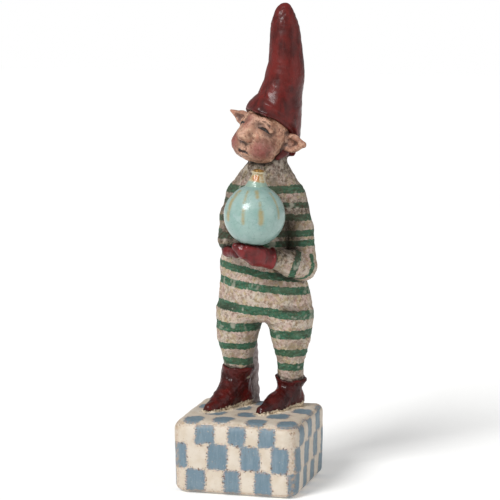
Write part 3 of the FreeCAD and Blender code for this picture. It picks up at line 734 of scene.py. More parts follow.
def suit_join(distances):
    """The whole suit as one skin."""
    d = distances["torso"]
    for node, fillet in SUIT_FILLETS.items():
        d = melt(d, distances[node], fillet)
    return d


def share(skin, own, others, sink, overlap):
    """One piece's share of a common skin. It sinks where it passes under the others, so no seam shows."""
    beyond = own - others
    return np.maximum(skin + sink * np.clip(beyond, 0, 1), beyond - overlap)


def suit_piece(node):
    def field(p):
        distances = suit_distances(p)
        skin = suit_join(distances)
        own = distances.pop(node)
        return share(skin, own, np.min(list(distances.values()), axis=0), 0.3, 1.2)

    return field


# Boots and mittens.

SIDES = ("right", "left")
FOOT_TURN = turn("z", -25.0)
BLOCK_LOW, BLOCK_HIGH = box_mm("base_block")
FLOOR_OF_FEET = float(BLOCK_HIGH[2])
ANKLES = {"right": (-8.6, 14.4), "left": (16.2, 15.2)}
BOOT_TOPS = {"right": 52.6, "left": 48.0}
# The shaft's lean to the side, its radius, and the radius at the foot of the instep.
SHAFTS = {"right": (-1.4, 6.8, 4.3), "left": (-0.4, 5.3, 3.3)}


def boot_field(side):
    """A boot, in the foot's own frame: x across, y back from the ankle, z up from the block."""
    rise = BOOT_TOPS[side] - FLOOR_OF_FEET
    lean, wide, instep_radius = SHAFTS[side]
    heel, ankle, mouth = (lean, 1.0, 4.0), (lean, -0.8, rise - 5.0), (0, -0.4, rise - 0.8)

    def field(p):
        foot = np.array([*ANKLES[side], FLOOR_OF_FEET])
        q = ((p - foot) @ FOOT_TURN).astype(np.float32)
        sole = cone(q, heel, (0.0, -11.0, 3.0), wide - 0.4, 4.6)
        sole = melt(sole, cone(q, (0.2, -11.0, 2.8), (0.6, -21.8, 1.5), 4.4, 2.6), 2.0)
        shaft = cone(q, heel, ankle, wide, wide - 0.1)
        shaft = melt(shaft, cone(q, ankle, mouth, wide - 0.2, 7.6), 1.6)
        instep = cone(q, (lean, -2.8, rise * 0.5), (0.0, -14.5, 2.8), wide - 1.0, instep_radius)
        d = melt(melt(sole, shaft, 3.0), instep, 2.6)
        lip = rise - 0.9 - 0.16 * q[:, 0] + 0.9 * lumps(p, 3.6, 0.3)
        d = carve(d, -(q[:, 2] - lip - 0.6), 0.9)
        return carve(d, q[:, 2] + 0.3, 0.6)

    return field


MITTENS = {
    "right": [(-10.2, 0.4, 108.8, 2.2), (-8.6, -6.6, 108.2, 1.9), (-2.5, -11.8, 108.6, 2.2)],
    "left": [
        (12.6, -7.2, 105.7, 4.5), (6.6, -12.0, 107.8, 4.5), (2.0, -15.2, 110.3, 3.3),
        (-1.4, -16.8, 112.2, 1.9),
    ],
}
CUFFS = {
    "right": ((-10.2, 0.8, 108.6), (-8.6, -6.6, 107.6)),
    "left": ((12.8, -7.0, 106.0), (8.8, -10.1, 106.9)),
}
THUMB = [(9.6, -13.0, 108.6, 2.4), (7.0, -16.6, 110.8, 1.9), (4.2, -18.6, 112.0, 1.4)]

BALL_LOW, BALL_HIGH = box_mm("ornament_ball")
BALL_RADIUS = float(BALL_HIGH[0] - BALL_LOW[0]) / 2
BALL = np.array([*(BALL_LOW + BALL_HIGH)[:2] / 2, BALL_LOW[2] + BALL_RADIUS])


def ball_form(p):
    return length(p - BALL.astype(np.float32)) - BALL_RADIUS


def mitten_field(side):
    """A mitten with a rolled cuff, hollowed where it holds the ball."""

    def field(p):
        d = chain(p, MITTENS[side], 2.0)
        if side == "left":
            d = melt(d, chain(p, THUMB, 1.0), 1.4)
        start, end = (np.array(c, np.float32) for c in CUFFS[side])
        axis = (end - start) / np.linalg.norm(end - start)
        along = (p - start) @ axis
        off = length(p - start - along[:, None] * axis)
        wrist = MITTENS[side][0][3]
        rim = np.sqrt((off - wrist + 0.1) ** 2 + (along - 0.6) ** 2) - 0.7
        d = carve(melt(d, rim, 0.8), along, 0.5)
        return carve(d, ball_form(p) + 0.15, 0.4)

    return field


# The head, in its own frame: x to the figure's left, y back, z up.

HEAD_LOW, HEAD_HIGH = box_mm("head")
HEAD = (HEAD_LOW + HEAD_HIGH) / 2 + (-1.4, 0.5, 1.5)
HEAD_TURN = turn("z", -27.0) @ turn("x", -4.0) @ turn("y", 17.5)


def to_head(p):
    return ((p - HEAD) @ HEAD_TURN).astype(np.float32)


# How much narrower the right half of the head is, and how much lower for each millimetre out.
NARROWER, LOWER = 1.14, 0.24


def mirrored(q):
    """Both halves of the head, folded onto its left. The right half is narrower and a little lower."""
    m = q.copy()
    right_side = np.maximum(-q[:, 0], 0)
    m[:, 0] = np.abs(q[:, 0]) + (NARROWER - 1) * right_side
    m[:, 2] += LOWER * right_side
    return m

# What the face is built up from, in order: whether it is on both sides, its form and its fillet.
FACE_LUMPS = (
    (True, egg, (4.2, -4.6, -4.8), (8.2, 8.0, 8.0), 2.5),  # jaws
    (True, egg, (6.9, -7.0, -4.0), (4.9, 4.6, 4.9), 1.8),  # cheeks
    (False, egg, (0, -8.0, -7.2), (5.0, 4.2, 4.4), 2.0),  # muzzle
    (False, egg, (0.6, -8.2, -10.6), (3.4, 2.8, 2.5), 1.6),  # chin
    (True, chain, [(1.2, -10.2, 6.8, 1.3), (5.0, -8.6, 7.2, 1.6), (8.8, -5.8, 6.0, 1.2)], 1.4),  # brows
    (True, egg, (6.8, -7.8, 4.3), (3.6, 2.0, 2.0), 1.3),  # eyelids
    (True, egg, (3.4, -10.2, -0.4), (3.4, 2.6, 4.6), 2.6),  # sides of the nose
    (False, chain, [(0, -10.6, 6.4, 1.8), (0, -12.2, 2.6, 2.1), (0, -13.8, -0.6, 2.3)], 2.8),  # bridge
    (False, egg, (0, -14.8, -1.7), (2.6, 2.4, 2.0), 1.4),  # tip of the nose
    (True, egg, (2.3, -12.9, -2.4), (1.8, 1.9, 1.5), 1.2),  # nostrils' wings
    (False, chain, [(0, -12.4, -5.0, 1.2), (0, -12.4, -7.0, 1.3)], 1.2),  # groove of the lip
    (True, chain, [(0, -12.1, -7.4, 1.0), (2.8, -11.4, -7.2, 0.8)], 0.8),  # upper lip
    (True, chain, [(0, -11.5, -9.9, 1.2), (2.6, -10.9, -9.6, 0.8)], 0.8),  # lower lip
)


def face_form(q):
    """The head before its eyes, mouth and creases are cut."""
    m = mirrored(q)
    d = egg(q, (0, 0.4, 0.4), (12.2, 12.2, 12.6))
    for both_sides, form, *sizes, fillet in FACE_LUMPS:
        d = melt(d, form(m if both_sides else q, *sizes), fillet)
    return d


def drawn_on(form, knots):
    """Knots given as x, z and radius, laid on the front of a form in the head's frame."""
    laid = []
    for x, z, radius in knots:
        depth = np.linspace(-20, 0, 801)
        line = np.stack([np.full_like(depth, x), depth, np.full_like(depth, z)], axis=1)
        inside = form(line.astype(np.float32)) < 0
        laid.append((x, float(depth[np.argmax(inside)]), z, radius))
    return laid

def twins(*knots):
    """A line on the left half of the face, and its twin on the right half."""
    twin = [(-x / NARROWER, z - LOWER * x / NARROWER, radius) for x, z, radius in knots]
    return drawn_on(face_form, knots), drawn_on(face_form, twin)


def line_field(q, lines):
    return np.minimum(*(chain(q, line, 0.3) for line in lines))


EYES = twins((4.6, 4.2, 0.12), (5.9, 4.3, 0.30), (7.3, 4.2, 0.50), (8.4, 3.7, 0.40), (9.4, 2.9, 0.14))
MOUTH = twins((0.0, -8.9, 0.16), (1.4, -8.6, 0.34), (2.5, -8.8, 0.24), (3.3, -9.2, 0.10))
BROWS = twins((4.6, 7.3, 0.04), (6.4, 7.3, 0.20), (8.2, 6.3, 0.20), (9.4, 5.2, 0.04))
NOSTRILS = twins((1.2, -3.7, 0.30), (1.7, -3.7, 0.26))


def face_field(q):
    d = face_form(q)
    for lines, rounding in ((EYES, 0.4), (MOUTH, 0.4), (BROWS, 0.6), (NOSTRILS, 0.3)):
        d = carve(d, line_field(q, lines), rounding)
    return d


# Each ear's root, middle and tip in the head's frame: x outwards, y, z and radius.
EARS = {
    "left": [(11.6, 1.4, -0.2, 4.0), (15.6, 2.2, 0.9, 4.1), (20.6, 3.1, 2.0, 1.6)],
    "right": [(11.6, 1.0, 0.6, 4.4), (16.4, 0.6, 1.4, 3.2), (23.4, -0.2, 2.0, 0.5)],
}


def one_ear(q, side):
    """A flat ear with a rolled rim and a hollow."""
    m = q * np.array([-1 if side == "right" else 1, 1, 1], np.float32)
    root, middle, tip = EARS[side]
    leaf = cone(m, root[:3], middle[:3], root[3], middle[3])
    leaf = melt(leaf, cone(m, middle[:3], tip[:3], middle[3] * 0.9, tip[3]), 1.2)
    across = np.array([middle[1] - root[1], root[0] - middle[0], 0], np.float32)
    face = (m - np.array(middle[:3], np.float32)) @ (across / np.linalg.norm(across))
    bowl = 0.05 * ((m[:, 2] - middle[2]) ** 2)
    d = carve(leaf, -(np.abs(face - bowl * 0.6) - 1.2), 1.2)
    inner = np.array(middle[:3]) * 0.85 + np.array(root[:3]) * 0.15 + (0, -1.7, 0)
    outer = np.array(tip[:3]) * 0.45 + np.array(middle[:3]) * 0.55 + (0, -1.4, 0)
    hollow = cone(m, inner, outer, middle[3] * 0.42, 0.5)
    fold = cone(m, inner + (-2.2, -0.3, -1.6), inner + (0.4, -0.3, 1.6), 0.5, 0.4)
    return carve(carve(d, hollow, 1.3), fold, 0.6)


def ear_field(q):
    return np.where(q[:, 0] < 0, one_ear(q, "right"), one_ear(q, "left"))

def head_piece(p):
    q = to_head(p)
    head, ears = face_field(q), ear_field(q)
    return share(melt(head, ears, 1.2), head, ears, 0.25, 1.2)


def ear_piece(side):
    outward = -1 if side == "right" else 1

    def field(p):
        q = to_head(p)
        head, ears = face_field(q), ear_field(q)
        d = share(melt(head, ears, 1.2), ears, head, 0.25, 1.0)
        return np.maximum(d, -outward * q[:, 0] + 6.0)

    return field


# The hat: level ovals up a leaning cone, a rolled brim and a fold above it.

HAT = [
    (150.0, 7.0, 13.0, 10.6, 11.2),
    (156.0, 6.4, 12.4, 13.4, 13.8),
    (162.0, 6.4, 12.1, 14.2, 14.4),
    (168.0, 6.9, 12.2, 14.0, 14.3),
    (174.0, 8.2, 12.7, 13.0, 13.6),
    (178.0, 10.8, 13.0, 10.3, 11.4),
    (185.0, 13.1, 13.3, 9.2, 9.7),
    (192.5, 13.8, 13.4, 8.3, 8.7),
    (200.0, 13.8, 13.3, 7.5, 7.8),
    (207.0, 13.4, 13.2, 6.7, 6.9),
    (211.0, 13.3, 13.1, 6.0, 6.1),
    (214.5, 13.1, 13.0, 5.0, 5.1),
    (217.6, 13.1, 13.0, 3.8, 3.9),
    (220.0, 13.2, 13.0, 1.6, 1.6),
]
# The brim's line on the head: places from front to back, and its height at each.
BRIM_LINE = (
    (-16.0, -9.0, -5.4, -2.2, 1.8, 4.6, 7.3, 10.0, 16.0),
    (9.8, 9.8, 9.1, 7.6, 5.6, 2.0, -6.0, -11.6, -12.2),
)


COLLAR_LOW, COLLAR_HIGH = box_mm("neck_collar")
NAPE = (*((COLLAR_LOW + COLLAR_HIGH)[:2] / 2 + (1.4, 2.2)), COLLAR_HIGH[2] + 2.0)
# The flap at the nape: one side's knots from the top down, and then both sides in place.
FLAP = [(8.8, 11.0, 157.0, 2.8), (8.0, 8.2, 153.0, 2.6), (6.2, 5.4, 150.8, 1.7)]
FLAPS = [[(sign * x + (NAPE[0] - 0.8), y, z, radius) for x, y, z, radius in FLAP] for sign in (1, -1)]


def brim_height(q):
    """How high the brim lies in the head's frame: down to the nape, and lower over the right temple."""
    return curve(BRIM_LINE[0], BRIM_LINE[1], q[:, 1]) + 0.20 * np.clip(q[:, 0] + 2, -12, 0)


def hat_field(p):
    q = to_head(p)
    face = face_form(q)
    above = q[:, 2] - brim_height(q)
    nape = chain(p, [(NAPE[0], NAPE[1], NAPE[2] + 12, 10.0), (*NAPE, 7.5)])
    crown = melt(stack(p, HAT, 1.6), egg(q, (0, 1.2, 0.6), (13.2, 13.2, 13.4)), 2.5)
    crown = melt(crown, nape, 2.0)
    tuck = np.clip(0.5 - q[:, 0] / 26 - q[:, 1] / 26, 0, 1)
    hug = ease(np.clip(above / (4.0 + 2.5 * tuck), 0, 1))
    lip = 1 - np.clip(above / (1.8 + 0.8 * tuck), 0, 1)
    edge = face - 0.35 - (0.8 + 1.1 * tuck) * np.sqrt(1 - lip * lip)
    form = (1 - hug) * melt(edge, nape, 2.0) + hug * crown
    fold = 4.2 + 4.6 * tuck + 1.4 * lumps(p, 12.0, 0.4)
    crease = np.exp(-(((above - fold) / 0.9) ** 2)) * tuck
    roll = np.exp(-(((above - fold * 0.45) / (fold * 0.4)) ** 2)) * tuck
    form = form - 0.5 * roll + 0.5 * crease
    d = carve(form, above, 0.5)
    rim = np.sqrt((form + 0.2) ** 2 + (above - 0.5) ** 2) - 0.4
    d = melt(d, rim, 0.7)
    for flap in FLAPS:
        d = melt(d, chain(p, flap), 1.5)
    return carve(d, face + 0.1, 0.2)


# The rear post, the ornament and the block.


def post_field(p):
    low, high = box_mm("rear_support_post")
    x, y = (low[0] + high[0]) / 2, low[1] + 4.0
    levels = [
        (low[2] - 0.4, x, y, 4.4, 4.2),
        (low[2] + 6, x + 0.2, y, 3.7, 3.6),
        (low[2] + 14, x - 0.3, y, 3.9, 3.7),
        (low[2] + 24, x, y - 0.3, 3.5, 3.5),
        (high[2], x - 0.2, y - 0.6, 3.2, 3.2),
    ]
    return stack(p, levels, 1.0)


CAP_HIGH = box_mm("ornament_cap")[1]
CAP_BASE = BALL + (0.9, 0.3, 12.6)
CAP_TOP = np.array([CAP_BASE[0] + 0.8, CAP_BASE[1] + 0.2, CAP_HIGH[2] - 0.4])
CAP_TALL = np.linalg.norm(CAP_TOP - CAP_BASE)
CAP_AXIS = (CAP_TOP - CAP_BASE) / CAP_TALL


def cap_parts(p):
    """How far along the cap's axis, and how far off it."""
    along = (p - CAP_BASE) @ CAP_AXIS
    return along, length(p - CAP_BASE - along[:, None] * CAP_AXIS)


def cap_field(p):
    along, off = (a.astype(np.float32) for a in cap_parts(p))
    heights, radii = (0, 1.6, 3.4, CAP_TALL - 1.2, CAP_TALL), (5.2, 4.3, 3.6, 2.7, 2.9)
    d = carve(off - np.interp(along, heights, radii), -(along - CAP_TALL), 0.5)
    rim = np.sqrt((off - 2.7) ** 2 + (along - CAP_TALL + 0.4) ** 2) - 0.5
    mouth = np.maximum(off - 1.5, CAP_TALL - 0.8 - along)
    return carve(melt(d, rim, 0.4), mouth, 0.3).astype(np.float32)


def ring_field(p):
    along, off = cap_parts(p)
    return (np.sqrt((off - 1.8) ** 2 + (along - CAP_TALL - 0.25) ** 2) - 0.62).astype(np.float32)


def ball_field(p):
    """The ball, with a raised seat under its cap."""
    seat = np.array(CAP_BASE, np.float32) + CAP_AXIS.astype(np.float32) * -0.6
    return melt(ball_form(p), egg(p, seat, (5.0, 5.0, 1.9)), 1.2)


# Radii of the block's upright corners, in front and at the rear.
CORNER = 6.5
REAR_CORNER = 3.4
BLOCK_CENTRE = (BLOCK_LOW + BLOCK_HIGH) / 2
BLOCK_HALF = (BLOCK_HIGH - BLOCK_LOW) / 2


def block_field(p):
    """A block with worn edges, a little narrower at its foot."""
    q = p - BLOCK_CENTRE
    pinch = 1.0 + 0.02 * np.clip((-q[:, 2] - 6) / BLOCK_HALF[2], 0, 1)
    corner = np.where(q[:, 1] > 0, REAR_CORNER, CORNER)
    flat = np.abs(q[:, :2]) * pinch[:, None] - (BLOCK_HALF[:2] - corner[:, None])
    plan = length(np.maximum(flat, 0)) + np.minimum(flat.max(1), 0) - corner
    edge = np.where(q[:, 2] > 0, 4.0 - 0.8 * np.tanh(q[:, 1] / 10), 3.2)
    w = np.stack([plan + edge, np.abs(q[:, 2]) - BLOCK_HALF[2] + edge], axis=1)
    return (length(np.maximum(w, 0)) + np.minimum(w.max(1), 0) - edge).astype(np.float32)


# The whole figure, for the painted shade in its crevices.

BOOTS = {side: boot_field(side) for side in SIDES}
HANDS = {side: mitten_field(side) for side in SIDES}


def head_whole(p):
    q = to_head(p)
    return melt(face_field(q), ear_field(q), 1.4)


def figure_without_hat(p):
    """Everything but the hat: the skin gets no painted shade from lying under its brim."""
    d = suit_join(suit_distances(p))
    for other in (*BOOTS.values(), *HANDS.values(), head_whole, ball_field, block_field):
        d = np.minimum(d, other(p))
    return d


def figure_field(p):
    return np.minimum(figure_without_hat(p), hat_field(p))


# Reliefs: how far each vertex stands off its smooth form.

# A distance that is nowhere near a stroke or a sole.
FAR = 9.0


def lumpy(*coats):
    """A relief of coats of lumps, each with a height, a size and a shift."""
    return lambda p, n: sum(height * lumps(p, size, shift) for height, size, shift in coats)


suit_relief = lumpy((0.26, 2.6, 0.0), (0.20, 1.25, 0.3), (0.35, 9.0, 0.7))
oxblood_relief = lumpy((0.26, 7.0, 0.2), (0.10, 2.4, 0.5), (0.04, 1.1, 0.1))
mitten_relief = lumpy((0.2, 5.0, 0.2), (0.16, 1.8, 0.5), (0.06, 0.9, 0.1))
skin_relief = lumpy((0.17, 2.4, 0.2), (0.13, 1.1, 0.8))
glaze_relief = lumpy((0.10, 6.0, 0.5), (0.03, 1.8, 0.1))


def hat_relief(p, n):
    """Smoother in the middle, crusty at the tip and over the fold."""
    z = p[:, 2]
    crusty = np.clip((z - 205) / 6, 0, 1) + 0.7 * np.exp(-(((z - 181) / 4) ** 2))
    return oxblood_relief(p, n) + crusty * (0.16 * lumps(p, 1.5, 0.6) + 0.10 * lumps(p, 0.9, 0.2))


def boot_relief(p, n):
    above = p[:, 2] - FLOOR_OF_FEET
    rough = 0.20 * lumps(p, 2.2, 0.5) + 0.16 * lumps(p, 1.1, 0.1) + 0.2 * lumps(p, 6.0)
    skirt = np.clip(1 - above / 2.0, 0, 1) * (0.35 + 0.6 * lumps(p, 1.5, 0.7))
    return np.where(p[:, 2] < FLOOR_OF_FEET + 0.2, 0, rough + skirt)


def post_relief(p, n):
    stretched = p * np.array([1, 1, 1.6])
    return 0.45 * lumps(stretched, 3.4, 0.2) + 0.22 * lumps(p, 1.4, 0.8)


def crumbs(p, n):
    """Distance from the soles, for the crumbly paint round them."""
    near = np.minimum(*(boot(p.astype(np.float32)) for boot in BOOTS.values()))
    return np.where(p[:, 2] > BLOCK_HIGH[2] - 2, near + 0.6 * lumps(p, 2.2, 0.4), FAR)


def block_relief(p, n):
    soft = 0.34 * lumps(p, 16.0, 0.3) + 0.12 * lumps(p, 4.0, 0.6) + 0.05 * lumps(p, 1.6, 0.2)
    spill = np.clip(1 - crumbs(p, n) / 3.0, 0, 1) * (0.45 + 0.7 * lumps(p, 1.4, 0.7))
    return np.where(n[:, 2] < -0.7, 0.0, soft + spill)


# Paint marks. Some are distances in millimetres, negative inside the stroke, and some are shares.


def everywhere(value):
    return lambda p, n: np.full(len(p), value)


def within(distance, width):
    """A share that falls from 1 to 0 over this width round a distance of zero."""
    return np.clip(0.5 - distance / width, 0, 1)


def bands(*lines):
    """Stripes from lines of height at the figure's right edge, at its left edge and half width."""

    def distance(p, n):
        across = np.clip((p[:, 0] + 16) / 42, -0.1, 1.1)
        waver = 0.35 * lumps(p, 9.0, 0.15)
        found = np.full(len(p), FAR)
        for right, left, half in lines:
            middle = right + (left - right) * across
            found = np.minimum(found, np.abs(p[:, 2] - middle + waver) - half)
        return found

    return distance


SEAT_BAND = (82.4, 78.2, 2.1)
chest_bands = bands(
    (135.4, 136.0, 1.8),
    (129.9, 128.3, 1.3),
    (122.0, 123.0, 1.5),
    (115.3, 115.9, 1.5),
    (109.6, 111.6, 1.4),
    (101.2, 94.4, 1.7),
    (93.8, 88.8, 1.8),
    SEAT_BAND,
    (72.2, 68.8, 2.1),
)
collar_band = bands((145.4, 145.8, 0.0))
right_leg_bands = bands((72.2, 71.4, 2.2), (62.4, 61.8, 1.6), (55.0, 54.4, 1.6), SEAT_BAND)
left_leg_bands = bands((69.8, 69.0, 2.1), (60.6, 60.0, 1.7), (54.2, 53.4, 1.7), SEAT_BAND)


def left_forearm_bands(p, n):
    """A slanting stripe across the forearm, and a thin one round the elbow."""
    elbow = np.array(ARMS["left_forearm"][0][:3])
    waver = 0.3 * lumps(p, 6.0, 0.3)
    across = 0.966 * p[:, 0] + 0.259 * p[:, 1]
    slant = np.abs((across - 21.2 - 0.31 * (p[:, 2] - 103.4)) * 0.955 + waver) - 1.5
    ring = np.abs((p - elbow) @ np.array([0.10, -0.98, 0.15]) - 4.2 + waver) - 0.8
    ring = np.where(p[:, 0] > elbow[0] - 1.5, ring, FAR)
    return np.minimum(np.where(p[:, 1] < 9, slant, FAR), ring)


def left_upper_arm_bands(p, n):
    return np.minimum(chest_bands(p, n), np.where(p[:, 2] < 107, left_forearm_bands(p, n), FAR))


def shade_and_wash(p, n):
    """How heavy the painted shade and brown glaze lie: on the chest and neck under the chin, where the arms
    meet the body, at the ankles.
    """
    z = p[:, 2]
    # Painted shade rising up the chest and neck to under the chin.
    upper = 0.62 * np.clip((z - 106) / 34, 0, 1) + 0.52 * np.clip((z - 141) / 8, 0, 1)
    body = torso_field(p.astype(np.float32))
    meet = np.full(len(p), FAR)
    for side in SIDES:
        arm = chain(p.astype(np.float32), ARMS[f"{side}_upper_arm"], 1.5)
        meet = np.minimum(meet, np.abs(arm - body))
    # Painted shade in the crease where each arm meets the body.
    seam = 0.98 * np.clip(1.9 - meet / 3.8, 0, 1)
    seam = seam * np.clip((z - 102) / 5, 0, 1) * np.clip((136 - z) / 8, 0, 1)
    seam = seam * np.clip(1.4 - (p[:, 1] - 8) / 10, 0.4, 1)
    ankle = 0.4 * np.clip((56 - z) / 6, 0, 1)
    return np.clip(np.maximum(np.maximum(upper, seam), ankle) + 0.15 * lumps(p, 4.0, 0.6), 0, 1)


def blush(p, n):
    """The red of the cheeks, the bridge of the nose and its tip."""
    q = to_head(p)
    wander = 0.5 * lumps(p, 4.0, 0.2)
    cheek = egg(mirrored(q), (8.4, -9.6, -5.2), (5.2, 4.8, 4.6)) + wander
    bridge = egg(q, (-1.4, -11.6, 4.6), (3.0, 3.4, 5.6)) + wander
    tip = egg(q, (-0.8, -15.0, -1.2), (1.6, 2.0, 1.4))
    warmth = np.maximum(within(cheek, 3.6), 0.7 * within(bridge, 2.6))
    return np.maximum(warmth, 0.5 * within(tip, 2.0))


def dusk(p, n):
    """The brown shadow colour painted over the upper cheek."""
    m = mirrored(to_head(p))
    upper = egg(m, (10.6, -8.4, -0.6), (4.8, 4.2, 3.4)) + 0.5 * lumps(p, 4.0, 0.6)
    return 0.9 * within(upper, 3.0)


def ear_dusk(p, n):
    """The brown inside the ears: their own paint, and painted shade in their hollows."""
    q = to_head(p)
    m = q * np.where(q[:, :1] < 0, [[-1, 1, 1]], [[1, 1, 1]]).astype(np.float32)
    return 0.9 * within(length(m - np.array([15.4, 1.0, 0.8], np.float32)) - 2.4, 1.6)


def face_highlight(p, n):
    """Where the skin is painted lightest, as painted highlights: nose, muzzle, brow and chin."""
    q = to_head(p)
    patches = (
        ((-0.6, -15.4, -0.4), (2.2, 2.6, 2.6)),
        ((0.6, -12.6, -6.2), (3.4, 2.4, 2.0)),
        ((3.8, -10.2, 6.8), (4.6, 3.0, 2.2)),
        ((5.6, -9.0, 1.2), (3.0, 3.0, 1.6)),
        ((1.0, -10.6, -11.0), (3.0, 2.6, 1.8)),
    )
    found = np.min([egg(q, centre, radii) for centre, radii in patches], axis=0)
    return within(found + 0.6 * lumps(p, 3.0, 0.5), 1.6)


def face_lines(p, n):
    q = to_head(p)
    eyes_and_mouth = np.minimum(line_field(q, EYES) - 0.06, line_field(q, MOUTH) + 0.06)
    return np.minimum(eyes_and_mouth, line_field(q, NOSTRILS) + 0.14)


def rounded_cell(x, y, half_x, half_y, corner):
    """Distance to a rectangle round the origin, with round corners."""
    dx = np.abs(x) - half_x + corner
    dy = np.abs(y) - half_y + corner
    return np.hypot(np.maximum(dx, 0), np.maximum(dy, 0)) + np.minimum(np.maximum(dx, dy), 0) - corner


# The block's brush patches: for each row its height and half height, then where the seen ones lie
# along the front, with their half widths. Round the other sides the rows go on evenly.
ROWS = (
    (28.6, 5.3, ((-35.8, 4.2), (-13.4, 4.5), (1.3, 4.1), (15.2, 3.9), (36.6, 4.0)), 9),
    (17.7, 5.9, ((-26.0, 4.2), (-7.7, 4.6), (7.6, 4.4), (21.5, 4.1), (31.4, 3.2)), 10),
    (6.2, 5.7, ((-18.0, 4.5), (-0.9, 3.9), (13.5, 4.1), (28.4, 3.4)), 11),
)
# The same on top: each row's place from front to back, and whether it is shifted sideways.
TOP_ROWS = ((-20.4, 0), (-7.4, 1), (6.0, 0), (19.0, 1))
TOP_FIRST, TOP_STEP, TOP_SHIFT = -20.9, 15.0, 7.4


def around_block(p):
    """Millimetres round the block's sides, from the middle of its front to the figure's left."""
    x, y = (p - BLOCK_CENTRE)[:, 0], (p - BLOCK_CENTRE)[:, 1]
    flat_x, flat_y = BLOCK_HALF[0] - CORNER, BLOCK_HALF[1] - CORNER
    arc = CORNER * math.pi / 2
    round_trip = 4 * (flat_x + flat_y + arc)
    corner = np.arctan2(np.abs(x) - flat_x, np.maximum(np.abs(y) - flat_y, 1e-6))
    turn_part = CORNER * np.clip(corner, 0, math.pi / 2)
    quarter = np.where(
        np.abs(x) < flat_x,
        np.abs(x),
        np.where(np.abs(y) < flat_y, flat_x + arc + flat_y - np.abs(y), flat_x + turn_part),
    )
    front = np.where(x >= 0, quarter, -quarter)
    rear = np.where(x >= 0, round_trip / 2 - quarter, -(round_trip / 2 - quarter))
    return np.where(y < 0, front, rear), round_trip


def check_distance(p, n):
    """Distance to the nearest blue brush patch on the block's sides and top."""
    run, round_trip = around_block(p)
    drift = 0.5 * lumps(p, 5.0, 0.35)
    draws = np.random.default_rng(11)
    found = np.full(len(p), FAR)
    upper = p[:, 2] > BLOCK_HIGH[2] - 1.6
    for height, tall, seen, gaps in ROWS:
        last, first = seen[-1][0], seen[0][0] + round_trip
        patches = [(x, wide, height, tall) for x, wide in seen]
        for gap in range(1, gaps):
            jitter = draws.uniform(-0.6, 0.6, 4)
            x = last + (first - last) * gap / gaps + jitter[0]
            patches.append((x, 4.1 + 0.5 * jitter[1], height + 0.6 * jitter[2], tall + 0.4 * jitter[3]))
        for x, wide, middle, high in patches:
            aside = (run - x + round_trip / 2) % round_trip - round_trip / 2
            d = rounded_cell(aside + drift, p[:, 2] + drift - middle, wide, high, 1.5)
            found = np.where(upper, found, np.minimum(found, d))
    for y, shifted in TOP_ROWS:
        for column in range(4):
            jitter = draws.uniform(-0.7, 0.7, 4)
            x = TOP_FIRST + TOP_STEP * column + TOP_SHIFT * shifted + jitter[0]
            half_x, half_y = 4.5 + 0.5 * jitter[2], 5.3 + 0.6 * jitter[3]
            d = rounded_cell(p[:, 0] + drift - x, p[:, 1] - (y + jitter[1]), half_x, half_y, 3.8)
            found = np.where(upper, np.minimum(found, d), found)
    return found


def rounding(p, n):
    """How much the surface turns from one face to the next."""
    return 1 - np.abs(n).max(1) ** 2


# The ball's tapered strokes: longitude, start and end latitude, and half width in millimetres.
STROKES = (
    (-44, 54, -2, 1.5), (-8, 58, 30, 0.7), (-7, 16, -8, 0.9), (22, 57, 42, 1.0), (26, 30, 18, 0.7),
    (27, 12, -8, 1.4), (66, 50, 0, 0.8), (104, 54, 4, 0.7), (142, 50, -4, 0.7), (178, 54, 2, 0.7),
    (-142, 52, -2, 0.7), (-92, 54, 2, 0.7),
)


def ball_strokes(p, n):
    q = (p - BALL) / BALL_RADIUS
    longitude = np.degrees(np.arctan2(q[:, 0], -q[:, 1]))
    latitude = np.degrees(np.arcsin(np.clip(q[:, 2], -1, 1)))
    found = np.full(len(p), FAR)
    for middle, top, bottom, half in STROKES:
        aside = (longitude - middle + 180) % 360 - 180
        across = np.radians(np.abs(aside)) * np.cos(np.radians(latitude)) * BALL_RADIUS
        past = np.radians(np.maximum(latitude - top, bottom - latitude)) * BALL_RADIUS
        found = np.minimum(found, np.hypot(across, np.maximum(past, 0)) - half)
    return found

def cap_stain(p, n):
    front = CAP_BASE + CAP_AXIS * 4.4 + np.array([-0.2, -3.2, 0])
    return length(p - front) - 1.5


def cap_mint(p, n):
    return cap_parts(p)[0] - 2.6


def soles(p, n):
    """Height above the soles' crumbly edge, which rises towards the heels."""
    return p[:, 2] - FLOOR_OF_FEET - 0.9 - 0.08 * (p[:, 1] + 6) + 0.5 * lumps(p, 2.6, 0.3)


# Meshing every piece: its field, relief, marks and finish, then the pitch of its grid, the field
# that shades its hollows and the room left round its node.

SUIT_BANDS = {
    "torso": chest_bands,
    "neck_collar": collar_band,
    "right_upper_arm": chest_bands,
    "left_upper_arm": left_upper_arm_bands,
    "right_forearm": chest_bands,
    "left_forearm": left_forearm_bands,
    "right_leg": right_leg_bands,
    "left_leg": left_leg_bands,
}
for node, band in SUIT_BANDS.items():
    marks = {"band": band, "wash_and_shade": shade_and_wash}
    sculpt(node, suit_piece(node), suit_relief, marks, SUIT, 0.45, figure_field, 4.0)

